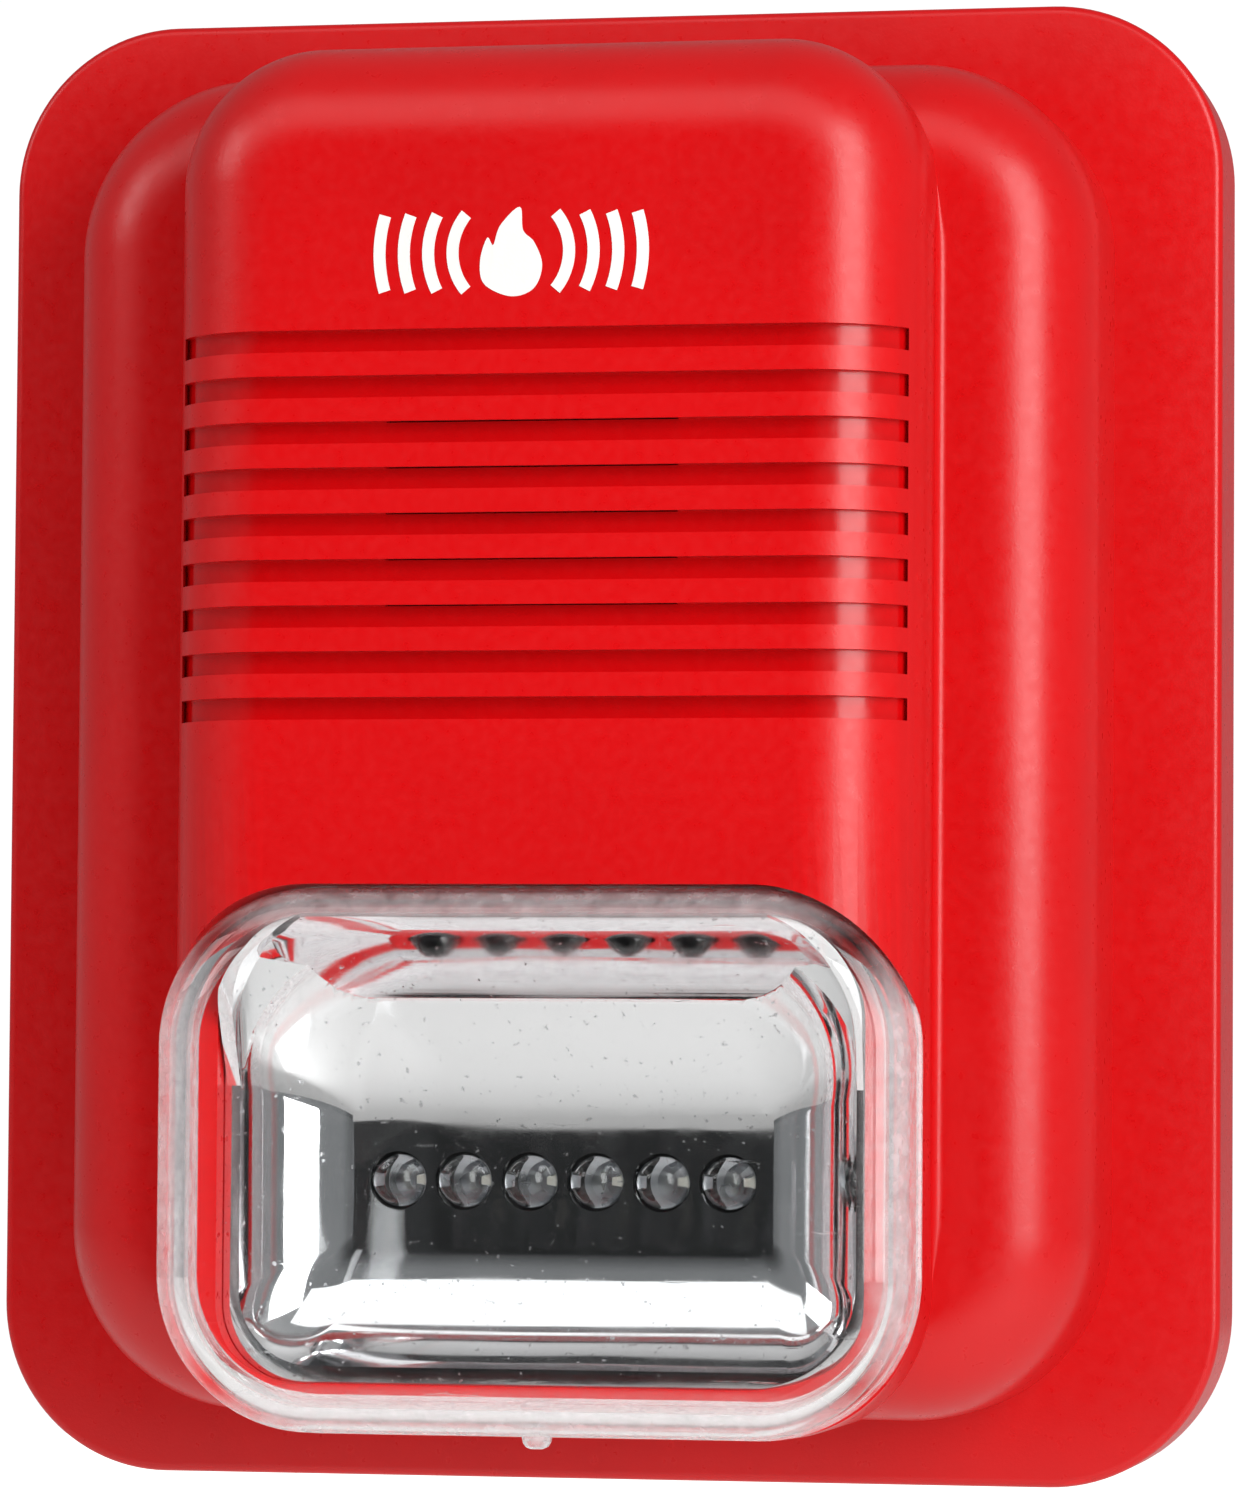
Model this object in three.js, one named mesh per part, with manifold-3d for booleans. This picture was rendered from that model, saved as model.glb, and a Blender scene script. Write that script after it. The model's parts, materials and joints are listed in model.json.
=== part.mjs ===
// A wall-mounted fire alarm horn strobe: a red front unit that hangs on a plate and swings open.
// Millimetres. X is to the right, Z is up, and the wall is the plane y = 0 behind the plate.
// "Depth" is the distance out from the wall, so a point at depth d has y = -d.
import * as THREE from "three";
import { mergeVertices } from "three/addons/utils/BufferGeometryUtils.js";
import Module from "manifold-3d";

const wasm = await Module();
wasm.setup();

// ---------------------------------------------------------------- driving dimensions

const GAP = 0.3; // left between pieces that touch
const WALL = 2.4; // moulded wall of the front cover

// The three steps of the front cover. halfX is the half width, front the depth of the front face.
const TRAY = { halfX: 61.1, bottom: -72.5, top: 72.5, corner: 16.7, front: 12.9, edge: 1 };
const SHOULDER = { halfX: 50.66, bottom: -65.8, top: 65.3, corner: 18, front: 33, edge: 9 };
const COLUMN = { halfX: 36.1, bottom: -66.8, top: 65.5, corner: 14, front: 48.9, edge: 10.7 };
const REAR_EDGE = 0.6; // depth of the cover's open rear edge

const GROOVE = { count: 9, top: 37.3, pitch: 4.34, height: 2.1, halfX: 35, deep: 1.3 };
const LOUVRE = { first: 2, last: 6, height: 0.8, halfX: 14, back: 46, front: 48.2 };

const LENS = { halfX: 36, bottom: -66.6, top: -15.2, corner: 15, front: 50, edge: 4, wall: 2 };
const PLATFORM = 40; // depth of the red face that the lens stands on
const LENS_NIB = { halfX: 1.4, bottom: -67.9, back: 40.6, front: 43.2 };

// The bowl widens from a level strip that holds the LEDs to its rim, further on some sides.
const DISH = { halfX: 20.6, halfZ: 6.65, z: -43, floor: 30.5, rim: 37.3, wall: 1.3 };
const SPREAD = { side: 9.5, below: 11, above: 14.3, atRim: 0.835, arch: 15.1 };
const MOUTH = { halfX: 30.1, bottom: -60.65, top: -17, lowCorner: 6, highCorner: 11 };
// The hood's mirrored face, as [height, depth], from its crease with the bowl to its top edge.
const HOOD_FACE = [[-25.75, 33.7], [-23.9, 35.5], [-22.1, 37.7], [-20.3, 40.2], [-18.5, 43.1], [-17.5, 45]];
const HOOD_ROOM = { halfX: 27, lift: 1.5, top: -18.8, back: 30 };
const CHEEK = { halfX: 31.4, bottom: -34, top: -17.5, corner: 9.5, front: 45.9 };
const REFLECTOR_FLANGE = { halfX: 33.1, bottom: -63.8, top: -13.4, corner: 11, thick: 1.2 };
const REFLECTOR_SCREW = { x: 22, z: -15.4, hole: 1.05, deep: 39.2 };

const LED = { count: 6, pitch: 6.46, z: -43, radius: 2.5, rim: 2.9, rimHigh: 1, high: 8.6, back: 23.7 };
const LED_HOLE = 2.8;
const LED_BOARD = { halfX: 24.5, halfZ: 8, back: 21.8, front: 23.4, screwX: 21.5, hole: 1.1, leadX: 4 };
const LED_STUD = { radius: 2.2, front: 29.8, holeFront: 25.6 };

const SOUNDER = { z: 19.1, radius: 23, inner: 21.3, back: 33.2, front: 45.4, ledge: 39.6, throat: 16.6, port: 6 };
const EAR = { screwX: 27.5, from: 22, to: 30.6, halfZ: 3.2, back: 37.2, front: 39.7 };
const GASKET = { inner: 18.8, outer: 22.4, back: 45.7, front: 46.2 };
const PIEZO = { disc: 17.6, discBack: 39.05, discFront: 39.3, ceramic: 12.5, back: 38.45, front: 38.75 };
const CAP = { radius: 21, back: 33.4, front: 34.9, rimInner: 15.2, rimOuter: 17.2, rimFront: 38.7 };
const SOUNDER_LEAD_X = 4.5;
const LEAD_RADIUS = 0.6;

const BOARD = { halfX: 44.5, halfZ: 57, back: 14.4, front: 16, screwX: 41, screwZ: 50 };

// Where the parts on the front of the board stand, as [x, z].
const ON_BOARD = {
  capacitor: [-38.5, 6],
  inductor: [-38.5, -14],
  controller_ic: [34, -6],
  transistor: [38, 12],
  diode: [40, -24],
  resistor_1: [34, -24],
  resistor_2: [30, -24],
};

const SCREWS = {
  board: { head: 2.7, headHigh: 1.8, shank: 1.2, long: 9.6 },
  reflector: { head: 1.5, headHigh: 1.1, shank: 0.75, long: 3.2 },
  sounder: { head: 2.1, headHigh: 1.4, shank: 0.95, long: 6.4 },
  ledBoard: { head: 1.7, headHigh: 1, shank: 0.8, long: 3.2 },
};

const PLATE = { halfX: 58.1, bottom: -69.5, top: 66.4, corner: 14, thick: 2, rim: 1.6, rimFront: 5 };
const BOX_SCREWS = 30; // half the spacing of a standard wall box's screws
const CORNER_SCREWS = { x: 40, high: 45, low: -50 };
const SCREW_SLOT = { half: 2.2, long: 9 };
const KEYHOLE = { z: 42, radius: 4, slot: 2.1, high: 9 };
const LOW_WINDOW = { halfX: 20, bottom: -46, top: -14, corner: 4 };
const HIGH_WINDOW = { halfX: 16, bottom: 12, top: 30, corner: 4 };

// Pillars inside the cover: outer radius, hole radius and the depth that the hole ends at.
const BOARD_BOSS = { radius: 3.2, hole: 1.5, holeFront: 26 };
const EAR_BOSS = { radius: 3, hole: 1.25, holeFront: 45 };
const LOCK_BOSS = { radius: 4.1, bottom: -71, top: -64.9, recessTop: -66.9 };
const ROOT = 1.5; // how far pillars run into the wall they stand on

const HINGE = { x: 30, z: 68.2, depth: 2, bead: 1, halfLong: 4, web: 0.6, swing: 35 };

const LOCK = { depth: 6.9, thread: 1.45, head: 2.75, headBottom: -72.3, headHigh: 1.8, tip: -61.6 };
const LOCK_RETAINER = { radius: 3, bottom: -64.6, top: -64 };
const LOCK_LUG = { halfX: 6, bottom: -60.2, top: -57.8, front: 11.5 };

const TERMINAL = { poles: 4, pitch: 5, z: -19, halfX: 10.3, halfZ: 5, back: 4.1, front: 14.1 };
const SWITCH = { x: 29, z: -20.5, halfX: 5, halfZ: 3.3, back: 9.6, front: 14.1, pitch: 4.2 };
const LEVER = { halfX: 0.6, halfZ: 0.75, travel: 1.2, proud: 0.9, deep: 1.4 };

// ---------------------------------------------------------------- materials

function finish(color, roughness, metalness = 0) {
  return new THREE.MeshStandardMaterial({ color, roughness, metalness });
}

const clear = { transparent: true, opacity: 0.35 };
const materials = {
  redPlastic: finish(0xd20f14, 0.4),
  clearPlastic: Object.assign(finish(0xf2f5f7, 0.06), clear),
  chrome: finish(0xdfe2e6, 0.08, 1),
  ledEpoxy: Object.assign(finish(0xe8ecee, 0.1), clear),
  blackBoard: finish(0x1c1a1b, 0.45),
  greenBoard: finish(0x1d5c38, 0.45),
  blackPlastic: finish(0x17181a, 0.55),
  foam: finish(0x2a2b2d, 0.95),
  brass: finish(0xc9a24a, 0.3, 1),
  ceramic: finish(0xe6e2d6, 0.6),
  steel: finish(0xb9bcc0, 0.3, 1),
  platePlastic: finish(0xd8d5cc, 0.55),
  terminalGreen: finish(0x2c8a4f, 0.5),
  switchBlue: finish(0x2550a8, 0.5),
  whitePlastic: finish(0xf1f1ee, 0.45),
  canSleeve: finish(0x232a3c, 0.4),
  ferrite: finish(0x3a3b3d, 0.7),
  resistorTan: finish(0xc7a877, 0.55),
  redLead: finish(0xb5161a, 0.5),
  blackLead: finish(0x1b1b1c, 0.5),
  nylon: finish(0xe4e2da, 0.5),
};

// ---------------------------------------------------------------- solids and outlines

// A closed geometry as a solid that can be joined and cut.
function solid(geometry) {
  const bare = geometry.clone();
  bare.deleteAttribute("normal");
  bare.deleteAttribute("uv");
  const merged = mergeVertices(bare, 1e-4);
  const mesh = new wasm.Mesh({
    numProp: 3,
    vertProperties: merged.attributes.position.array,
    triVerts: new Uint32Array(merged.index.array),
  });
  return new wasm.Manifold(mesh);
}

function join(first, ...others) {
  return others.reduce((sum, next) => sum.add(next), first);
}

function cut(first, ...others) {
  return others.reduce((rest, next) => rest.subtract(next), first);
}

function geometryOf(made) {
  const { vertProperties, triVerts } = made.getMesh();
  const geometry = new THREE.BufferGeometry();
  geometry.setAttribute("position", new THREE.BufferAttribute(vertProperties, 3));
  geometry.setIndex(new THREE.BufferAttribute(triVerts, 1));
  geometry.computeVertexNormals();
  return geometry;
}

const unit = new THREE.Group();

// Adds one named piece, placed at x, a depth and a height.
function piece(name, made, material, x = 0, depth = 0, z = 0) {
  const mesh = new THREE.Mesh(geometryOf(made), material);
  mesh.name = name;
  mesh.position.set(x, -depth, z);
  unit.add(mesh);
}

// An upright rectangle with rounded corners.
function rounded(halfX, bottom, top, corner, lowCorner = corner) {
  const shape = new THREE.Shape();
  const x = halfX - corner;
  const lowX = halfX - lowCorner;
  shape.absarc(x, top - corner, corner, 0, Math.PI / 2);
  shape.absarc(-x, top - corner, corner, Math.PI / 2, Math.PI);
  shape.absarc(-lowX, bottom + lowCorner, lowCorner, Math.PI, 1.5 * Math.PI);
  shape.absarc(lowX, bottom + lowCorner, lowCorner, 1.5 * Math.PI, 2 * Math.PI);
  shape.closePath();
  return shape;
}

// An upright outline given depth from back to front. edge rounds both ends inwards.
function slab(outline, back, front, edge = 0, segments = 3) {
  const geometry = new THREE.ExtrudeGeometry(outline, {
    depth: front - back - 2 * edge,
    bevelEnabled: edge > 0,
    bevelSize: edge,
    bevelThickness: edge,
    bevelOffset: -edge,
    bevelSegments: edge > 3 ? 4 : 2,
    curveSegments: segments,
  });
  geometry.translate(0, 0, back + edge);
  geometry.rotateX(Math.PI / 2);
  return solid(geometry);
}

function box(x0, x1, back, front, z0, z1) {
  const geometry = new THREE.BoxGeometry(x1 - x0, front - back, z1 - z0);
  geometry.translate((x0 + x1) / 2, -(back + front) / 2, (z0 + z1) / 2);
  return solid(geometry);
}

// A round bar along the depth.
function rod(radius, back, front, x = 0, z = 0, sides = 12) {
  const geometry = new THREE.CylinderGeometry(radius, radius, front - back, sides);
  geometry.translate(x, -(back + front) / 2, z);
  return solid(geometry);
}

// A round bar that stands upright.
function post(radius, bottom, top, depth, sides = 14) {
  const geometry = new THREE.CylinderGeometry(radius, radius, top - bottom, sides);
  geometry.rotateX(Math.PI / 2);
  geometry.translate(0, -depth, (bottom + top) / 2);
  return solid(geometry);
}

// A turned shape about the depth axis, from [radius, depth] points listed from back to front.
function turned(profile, sides = 16) {
  const points = profile.map(([radius, depth]) => new THREE.Vector2(radius, -depth));
  return solid(new THREE.LatheGeometry(points.reverse(), sides));
}

// A section of [height, depth] corners run straight across the unit from -halfX to halfX.
function prismAcross(corners, halfX) {
  const section = new THREE.Shape(corners.map(([z, depth]) => new THREE.Vector2(z, depth)));
  const geometry = new THREE.ExtrudeGeometry(section, { depth: 2 * halfX, bevelEnabled: false });
  geometry.translate(0, 0, -halfX);
  const turn = new THREE.Matrix4().makeBasis(
    new THREE.Vector3(0, 0, 1),
    new THREE.Vector3(0, -1, 0),
    new THREE.Vector3(1, 0, 0),
  );
  geometry.applyMatrix4(turn);
  return solid(geometry);
}

// A round bar along X.
function bar(radius, halfLong, x, depth, z, sides) {
  const geometry = new THREE.CylinderGeometry(radius, radius, 2 * halfLong, sides);
  geometry.rotateZ(Math.PI / 2);
  geometry.translate(x, -depth, z);
  return solid(geometry);
}

function ring(inner, outer, back, front, sides = 20) {
  return turned([[inner, back], [outer, back], [outer, front], [inner, front], [inner, back]], sides);
}

function tube(points, radius, steps) {
  const path = new THREE.CatmullRomCurve3(points.map(([x, d, z]) => new THREE.Vector3(x, -d, z)));
  const section = new THREE.Shape().absarc(0, 0, radius, 0, 2 * Math.PI);
  return solid(new THREE.ExtrudeGeometry(section, { extrudePath: path, steps, curveSegments: 3 }));
}

// The outline of one step of the cover, drawn in by a wall thickness.
function stepOutline(step, inset = 0) {
  const { halfX, bottom, top, corner } = step;
  return rounded(halfX - inset, bottom + inset, top - inset, corner - inset);
}

// ---------------------------------------------------------------- fasteners

// A self-tapping screw that points out from the wall: head behind, shank in front.
function screw({ head, headHigh, shank, long }) {
  const blank = turned([
    [0, 0],
    [head * 0.85, 0],
    [head, headHigh],
    [shank, headHigh],
    [shank, headHigh + long - shank],
    [shank * 0.3, headHigh + long],
    [0, headHigh + long],
  ], 10);
  const arm = head * 0.55;
  const half = head * 0.12;
  const deep = headHigh * 0.6;
  const across = box(-arm, arm, -1, deep, -half, half);
  const upright = box(-half, half, -1, deep, -arm, arm);
  return cut(blank, join(across, upright));
}

// Places screws whose heads bear on a face at the given depth, at [x, z] places.
function addScrewSet(name, size, faceDepth, places) {
  const made = screw(size);
  for (const [index, [x, z]] of places.entries()) {
    piece(`${name}_${index + 1}`, made, materials.steel, x, faceDepth - GAP - size.headHigh, z);
  }
}

function bothSides(x, z) {
  return [[-x, z], [x, z]];
}

function addScrews() {
  const corners = [...bothSides(BOARD.screwX, BOARD.screwZ), ...bothSides(BOARD.screwX, -BOARD.screwZ)];
  const flangeBack = DISH.rim - REFLECTOR_FLANGE.thick;
  addScrewSet("board_screw", SCREWS.board, BOARD.back, corners);
  addScrewSet("reflector_screw", SCREWS.reflector, flangeBack, bothSides(REFLECTOR_SCREW.x, REFLECTOR_SCREW.z));
  addScrewSet("sounder_screw", SCREWS.sounder, EAR.back, bothSides(EAR.screwX, SOUNDER.z));
  addScrewSet("led_board_screw", SCREWS.ledBoard, LED_BOARD.back, bothSides(LED_BOARD.screwX, LED.z));
}

// ---------------------------------------------------------------- front cover

function coverSkin() {
  const buried = -15; // the steps start behind the wall plane and are trimmed at the rear edge
  return join(
    slab(stepOutline(TRAY), buried, TRAY.front, TRAY.edge, 4),
    slab(stepOutline(SHOULDER), buried, SHOULDER.front, SHOULDER.edge),
    slab(stepOutline(COLUMN), buried, COLUMN.front, COLUMN.edge),
  );
}

function coverHollow() {
  const behind = -30;
  const aboveLens = { ...COLUMN, bottom: LENS.top + 0.2 };
  return join(
    slab(stepOutline(TRAY, WALL), behind, TRAY.front - WALL),
    slab(stepOutline(SHOULDER, WALL), behind, SHOULDER.front - WALL, SHOULDER.edge - WALL),
    slab(stepOutline(aboveLens, WALL), behind, COLUMN.front - WALL, COLUMN.edge - WALL),
    slab(stepOutline(COLUMN, WALL), behind, PLATFORM - WALL),
  );
}

// Nine shallow channels across the column, whose floors are its rounded front set back.
function hornGrooves() {
  const { count, top, pitch, height, halfX, deep } = GROOVE;
  const rows = Array.from({ length: count }, (_, row) => {
    const z = top - row * pitch;
    return box(-halfX, halfX, 35, 60, z - height, z);
  });
  const floor = slab(stepOutline(COLUMN), -10, COLUMN.front - deep, COLUMN.edge);
  return cut(join(...rows), floor);
}

// Sound outlets hidden behind the ribs: each opens into the top wall of one groove.
function louvres() {
  const { first, last, height, halfX, back, front } = LOUVRE;
  const overlap = 0.05;
  const made = [];
  for (let row = first; row <= last; row += 1) {
    const z = GROOVE.top - row * GROOVE.pitch;
    made.push(box(-halfX, halfX, back, front, z - overlap, z + height));
  }
  return join(...made);
}

// The space for the lens, open at the sides and below so that no slivers stand beside it.
function lensRecess() {
  const room = 0.25;
  const { halfX, bottom, top, corner } = LENS;
  const outline = rounded(halfX + room, bottom, top + room, corner + room);
  const below = box(-45, 45, PLATFORM, 60, -80, top - corner);
  return join(slab(outline, PLATFORM, 60), below);
}

// The hole in the platform, around the bowl's rim and the hood that comes through it.
function reflectorOpening() {
  const ledge = CHEEK.halfX + GAP - MOUTH.halfX; // the rim stays in sight beside the hole
  const corner = CHEEK.corner + GAP;
  const bottom = MOUTH.bottom - ledge;
  const outline = rounded(CHEEK.halfX + GAP, bottom, CHEEK.top + GAP, corner, MOUTH.lowCorner + ledge);
  return slab(outline, 30, 45);
}

// The bead and web by which the cover hangs in one hook of the plate.
function hingeBead(x) {
  const { bead, halfLong, depth, z, web } = HINGE;
  const strip = box(x - halfLong, x + halfLong, depth - web, depth + web, z, TRAY.top - 1.6);
  return join(bar(bead, halfLong, x, depth, z, 12), strip);
}

// The bevel on the top rear edge that lets the cover swing without touching the wall.
function swingBevel() {
  const slope = Math.tan(THREE.MathUtils.degToRad(HINGE.swing));
  const inner = TRAY.top - WALL;
  const start = 1.05; // depth of the bevel where the inner face of the top wall ends
  const behind = -12;
  const [low, high] = [-3, 6];
  return prismAcross([
    [inner + low, start + low * slope],
    [inner + high, start + high * slope],
    [inner + high, behind],
    [inner + low, behind],
  ], 70);
}

function bosses() {
  const made = [];
  for (const side of [-1, 1]) {
    for (const end of [-1, 1]) {
      const x = side * BOARD.screwX;
      const front = SHOULDER.front - ROOT;
      made.push(rod(BOARD_BOSS.radius, BOARD.front + GAP, front, x, end * BOARD.screwZ));
    }
    const earFront = COLUMN.front - ROOT;
    made.push(rod(EAR_BOSS.radius, EAR.front + GAP, earFront, side * EAR.screwX, SOUNDER.z));
    made.push(hingeBead(side * HINGE.x));
  }
  made.push(post(LOCK_BOSS.radius, LOCK_BOSS.bottom, LOCK_BOSS.top, LOCK.depth));
  return join(...made);
}

function bossHoles() {
  const made = [];
  for (const side of [-1, 1]) {
    for (const end of [-1, 1]) {
      const at = [side * BOARD.screwX, end * BOARD.screwZ];
      made.push(rod(BOARD_BOSS.hole, BOARD.back, BOARD_BOSS.holeFront, ...at, 10));
    }
    made.push(rod(EAR_BOSS.hole, EAR.front, EAR_BOSS.holeFront, side * EAR.screwX, SOUNDER.z, 12));
    const { x, z, hole, deep } = REFLECTOR_SCREW;
    made.push(rod(hole, 36, deep, side * x, z, 12));
  }
  const below = TRAY.bottom - 1;
  made.push(post(LOCK.head + 0.35, below, LOCK_BOSS.recessTop, LOCK.depth));
  made.push(post(LOCK.thread + GAP, below, LOCK_BOSS.top + 1, LOCK.depth, 16));
  return join(...made);
}

function frontCover() {
  const shell = cut(coverSkin(), coverHollow());
  const whole = join(shell, bosses());
  const rearTrim = box(-80, 80, -40, REAR_EDGE, -90, 90);
  const openings = join(hornGrooves(), louvres(), lensRecess(), reflectorOpening());
  return cut(whole, rearTrim, swingBevel(), openings, bossHoles());
}

// ---------------------------------------------------------------- lens and reflector

function lens() {
  const { halfX, bottom, top, corner, front, edge, wall } = LENS;
  const outer = slab(rounded(halfX, bottom, top, corner), 20, front, edge);
  const innerOutline = rounded(halfX - wall, bottom + wall, top - wall, corner - wall);
  const inner = slab(innerOutline, 10, front - wall + 0.2, edge - wall + 0.6);
  const nib = box(-LENS_NIB.halfX, LENS_NIB.halfX, LENS_NIB.back, LENS_NIB.front, LENS_NIB.bottom,
    bottom + wall / 2);
  const base = box(-50, 50, 0, PLATFORM + GAP, -90, 0);
  return cut(join(outer, nib), inner, base);
}

// How far out of the strip a point has moved, stretched to the spread of its side.
function spreadOut(value, half, low, high) {
  if (Math.abs(value) <= half) {
    return value;
  }
  const out = Math.abs(value) - half;
  return value < 0 ? -half - out * low : half + out * high;
}

// The bowl as a solid with elliptical walls, up to the given depth. grow moves its walls outwards.
function bowl(grow, front) {
  const { halfX, halfZ, z, floor } = DISH;
  const { side, below, above, atRim, arch } = SPREAD;
  const corners = [[-halfX, -halfZ], [halfX, -halfZ], [halfX, halfZ], [-halfX, halfZ]];
  const strip = new THREE.Shape(corners.map(([x, up]) => new THREE.Vector2(x, up)));
  const geometry = new THREE.ExtrudeGeometry(strip, {
    depth: 1,
    bevelSize: 1,
    bevelThickness: arch,
    bevelSegments: 9,
  });
  const position = geometry.attributes.position;
  const reach = (spread) => spread / atRim + grow;
  for (let i = 0; i < position.count; i += 1) {
    position.setX(i, spreadOut(position.getX(i), halfX, reach(side), reach(side)));
    position.setY(i, spreadOut(position.getY(i), halfZ, reach(below), reach(above)));
  }
  geometry.translate(0, z, floor - grow + arch);
  geometry.rotateX(Math.PI / 2);
  return cut(solid(geometry), box(-70, 70, front, 120, -120, 60));
}

// The upright outline that the mirrored walls keep within, as a solid through all depths.
function mouthPrism(grow) {
  const { halfX, bottom, top, lowCorner, highCorner } = MOUTH;
  const outline = rounded(halfX + grow, bottom - grow, top + grow, highCorner, lowCorner + grow);
  return slab(outline, 20, 60, 0, 5);
}

// The open space in front of the mirrored faces.
function mirrorRoom() {
  const ahead = box(-60, 60, DISH.rim - 0.1, 70, -90, 20);
  const [[crease]] = HOOD_FACE;
  const behindHood = prismAcross([...HOOD_FACE, [5, 75], [5, 10], [crease, 10]], 50);
  return cut(join(bowl(0, 40), ahead).intersect(mouthPrism(0)), behindHood);
}

// The hood with the cheeks that join its ends to the rim, hollow behind.
function hood() {
  const { halfX, bottom, top, corner, front } = CHEEK;
  const back = DISH.rim - REFLECTOR_FLANGE.thick;
  const block = prismAcross([[bottom, back], [bottom, DISH.rim], [top, front], [top, back]], halfX);
  return block.intersect(slab(rounded(halfX, bottom - 20, top, corner), 30, 50, 0, 5));
}

function hoodBackRoom() {
  const { halfX, lift, top, back } = HOOD_ROOM;
  const raised = HOOD_FACE.map(([z, depth]) => [z + lift, depth]).filter(([z]) => z < top + 0.1);
  return prismAcross([...raised, [top, back], [raised[0][0], back]], halfX);
}

function reflector() {
  const { halfX, bottom, top, corner, thick } = REFLECTOR_FLANGE;
  const flange = slab(rounded(halfX, bottom, top, corner), DISH.rim - thick, DISH.rim);
  const studs = [];
  const holes = [];
  for (const side of [-1, 1]) {
    const x = side * LED_BOARD.screwX;
    studs.push(rod(LED_STUD.radius, LED_BOARD.front + GAP, LED_STUD.front, x, LED.z));
    holes.push(rod(LED_BOARD.hole, LED_BOARD.front, LED_STUD.holeFront, x, LED.z, 12));
    holes.push(rod(REFLECTOR_SCREW.hole, 30, 40, side * REFLECTOR_SCREW.x, REFLECTOR_SCREW.z, 12));
  }
  for (let n = 0; n < LED.count; n += 1) {
    holes.push(rod(LED_HOLE, LED_BOARD.front, DISH.rim, ledX(n), LED.z, 14));
  }
  const shell = bowl(DISH.wall, DISH.rim).intersect(mouthPrism(DISH.wall));
  const body = cut(join(shell, flange, hood()), hoodBackRoom());
  return cut(join(body, ...studs), mirrorRoom(), ...holes);
}

// ---------------------------------------------------------------- light source

function ledX(n) {
  return (n - (LED.count - 1) / 2) * LED.pitch;
}

function led() {
  const { radius, rim, rimHigh, high } = LED;
  const profile = [[0, 0], [rim, 0], [rim, rimHigh], [radius, rimHigh]];
  const steps = 3;
  for (let i = 0; i <= steps; i += 1) {
    const angle = (i / steps) * (Math.PI / 2);
    const r = i === steps ? 0 : radius * Math.cos(angle);
    profile.push([r, high - radius + radius * Math.sin(angle)]);
  }
  return turned(profile, 12);
}

function ledBoard() {
  const { halfX, halfZ, back, front, screwX, hole } = LED_BOARD;
  const board = slab(rounded(halfX, LED.z - halfZ, LED.z + halfZ, 1), back, front);
  const holes = [-1, 1].map((side) => rod(hole, 0, 30, side * screwX, LED.z, 12));
  return cut(board, ...holes);
}

function addLight() {
  const shape = led();
  for (let n = 0; n < LED.count; n += 1) {
    piece(`led_${n + 1}`, shape, materials.ledEpoxy, ledX(n), LED.back, LED.z);
  }
  piece("led_board", ledBoard(), materials.blackBoard);
  const names = ["led_lead_red", "led_lead_black"];
  const colours = [materials.redLead, materials.blackLead];
  const start = LED_BOARD.back - GAP;
  const end = BOARD.front + GAP;
  for (const [index, side] of [-1, 1].entries()) {
    const x = side * LED_BOARD.leadX;
    const route = [[x, start, -49.5], [x, start - 0.9, -49.6], [x, end + 0.9, -52.4], [x, end, -52.5]];
    piece(names[index], tube(route, LEAD_RADIUS, 6), colours[index]);
  }
}

// ---------------------------------------------------------------- sounder

function sounderHousing() {
  const { radius, inner, back, front, ledge, throat, port, z } = SOUNDER;
  const lid = 1.5;
  const cup = turned([
    [inner, back],
    [radius, back],
    [radius, front],
    [port, front],
    [port, front - lid],
    [throat, front - lid],
    [throat, ledge],
    [inner, ledge],
    [inner, back],
  ], 24);
  const ears = [-1, 1].map((side) => {
    const [low, high] = side < 0 ? [-EAR.to, -EAR.from] : [EAR.from, EAR.to];
    const ear = box(low, high, EAR.back, EAR.front, -EAR.halfZ, EAR.halfZ);
    return cut(ear, rod(1.25, 30, 45, side * EAR.screwX, 0));
  });
  return join(cup, ...ears).translate([0, 0, z]);
}

function sounderCap() {
  const { radius, back, front, rimInner, rimOuter, rimFront } = CAP;
  const cap = turned([
    [0, back],
    [radius, back],
    [radius, front],
    [rimOuter, front],
    [rimOuter, rimFront],
    [rimInner, rimFront],
    [rimInner, front],
    [0, front],
  ], 24);
  return cut(cap, ...[-1, 1].map((side) => rod(1.1, 30, 40, side * SOUNDER_LEAD_X, 0, 10)));
}

function addSounder() {
  const { z } = SOUNDER;
  const gasket = ring(GASKET.inner, GASKET.outer, GASKET.back, GASKET.front);
  const disc = rod(PIEZO.disc, PIEZO.discBack, PIEZO.discFront, 0, 0, 24);
  const ceramic = rod(PIEZO.ceramic, PIEZO.back, PIEZO.front, 0, 0, 20);
  piece("sounder_housing", sounderHousing(), materials.blackPlastic);
  piece("sounder_gasket", gasket, materials.foam, 0, 0, z);
  piece("piezo_disc", disc, materials.brass, 0, 0, z);
  piece("piezo_ceramic", ceramic, materials.ceramic, 0, 0, z);
  piece("sounder_cap", sounderCap(), materials.blackPlastic, 0, 0, z);
  const names = ["sounder_lead_red", "sounder_lead_black"];
  const colours = [materials.redLead, materials.blackLead];
  const foot = BOARD.front + GAP;
  for (const [index, side] of [-1, 1].entries()) {
    const x = side * SOUNDER_LEAD_X;
    const footX = x + side * 2;
    const route = [[x, 38, z], [x, 33, z], [x, 28, z - 1], [footX, 21, z - 8],
      [footX, foot + 1.6, z - 9], [footX, foot, z - 9]];
    piece(names[index], tube(route, LEAD_RADIUS, 12), colours[index]);
  }
}

// ---------------------------------------------------------------- electronics

function mainBoard() {
  const { halfX, halfZ, back, front, screwX, screwZ } = BOARD;
  const holes = [];
  for (const x of [-screwX, screwX]) {
    for (const z of [-screwZ, screwZ]) {
      holes.push(rod(1.6, 10, 20, x, z, 14));
    }
  }
  return cut(slab(rounded(halfX, -halfZ, halfZ, 3), back, front, 0, 3), ...holes);
}

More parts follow.
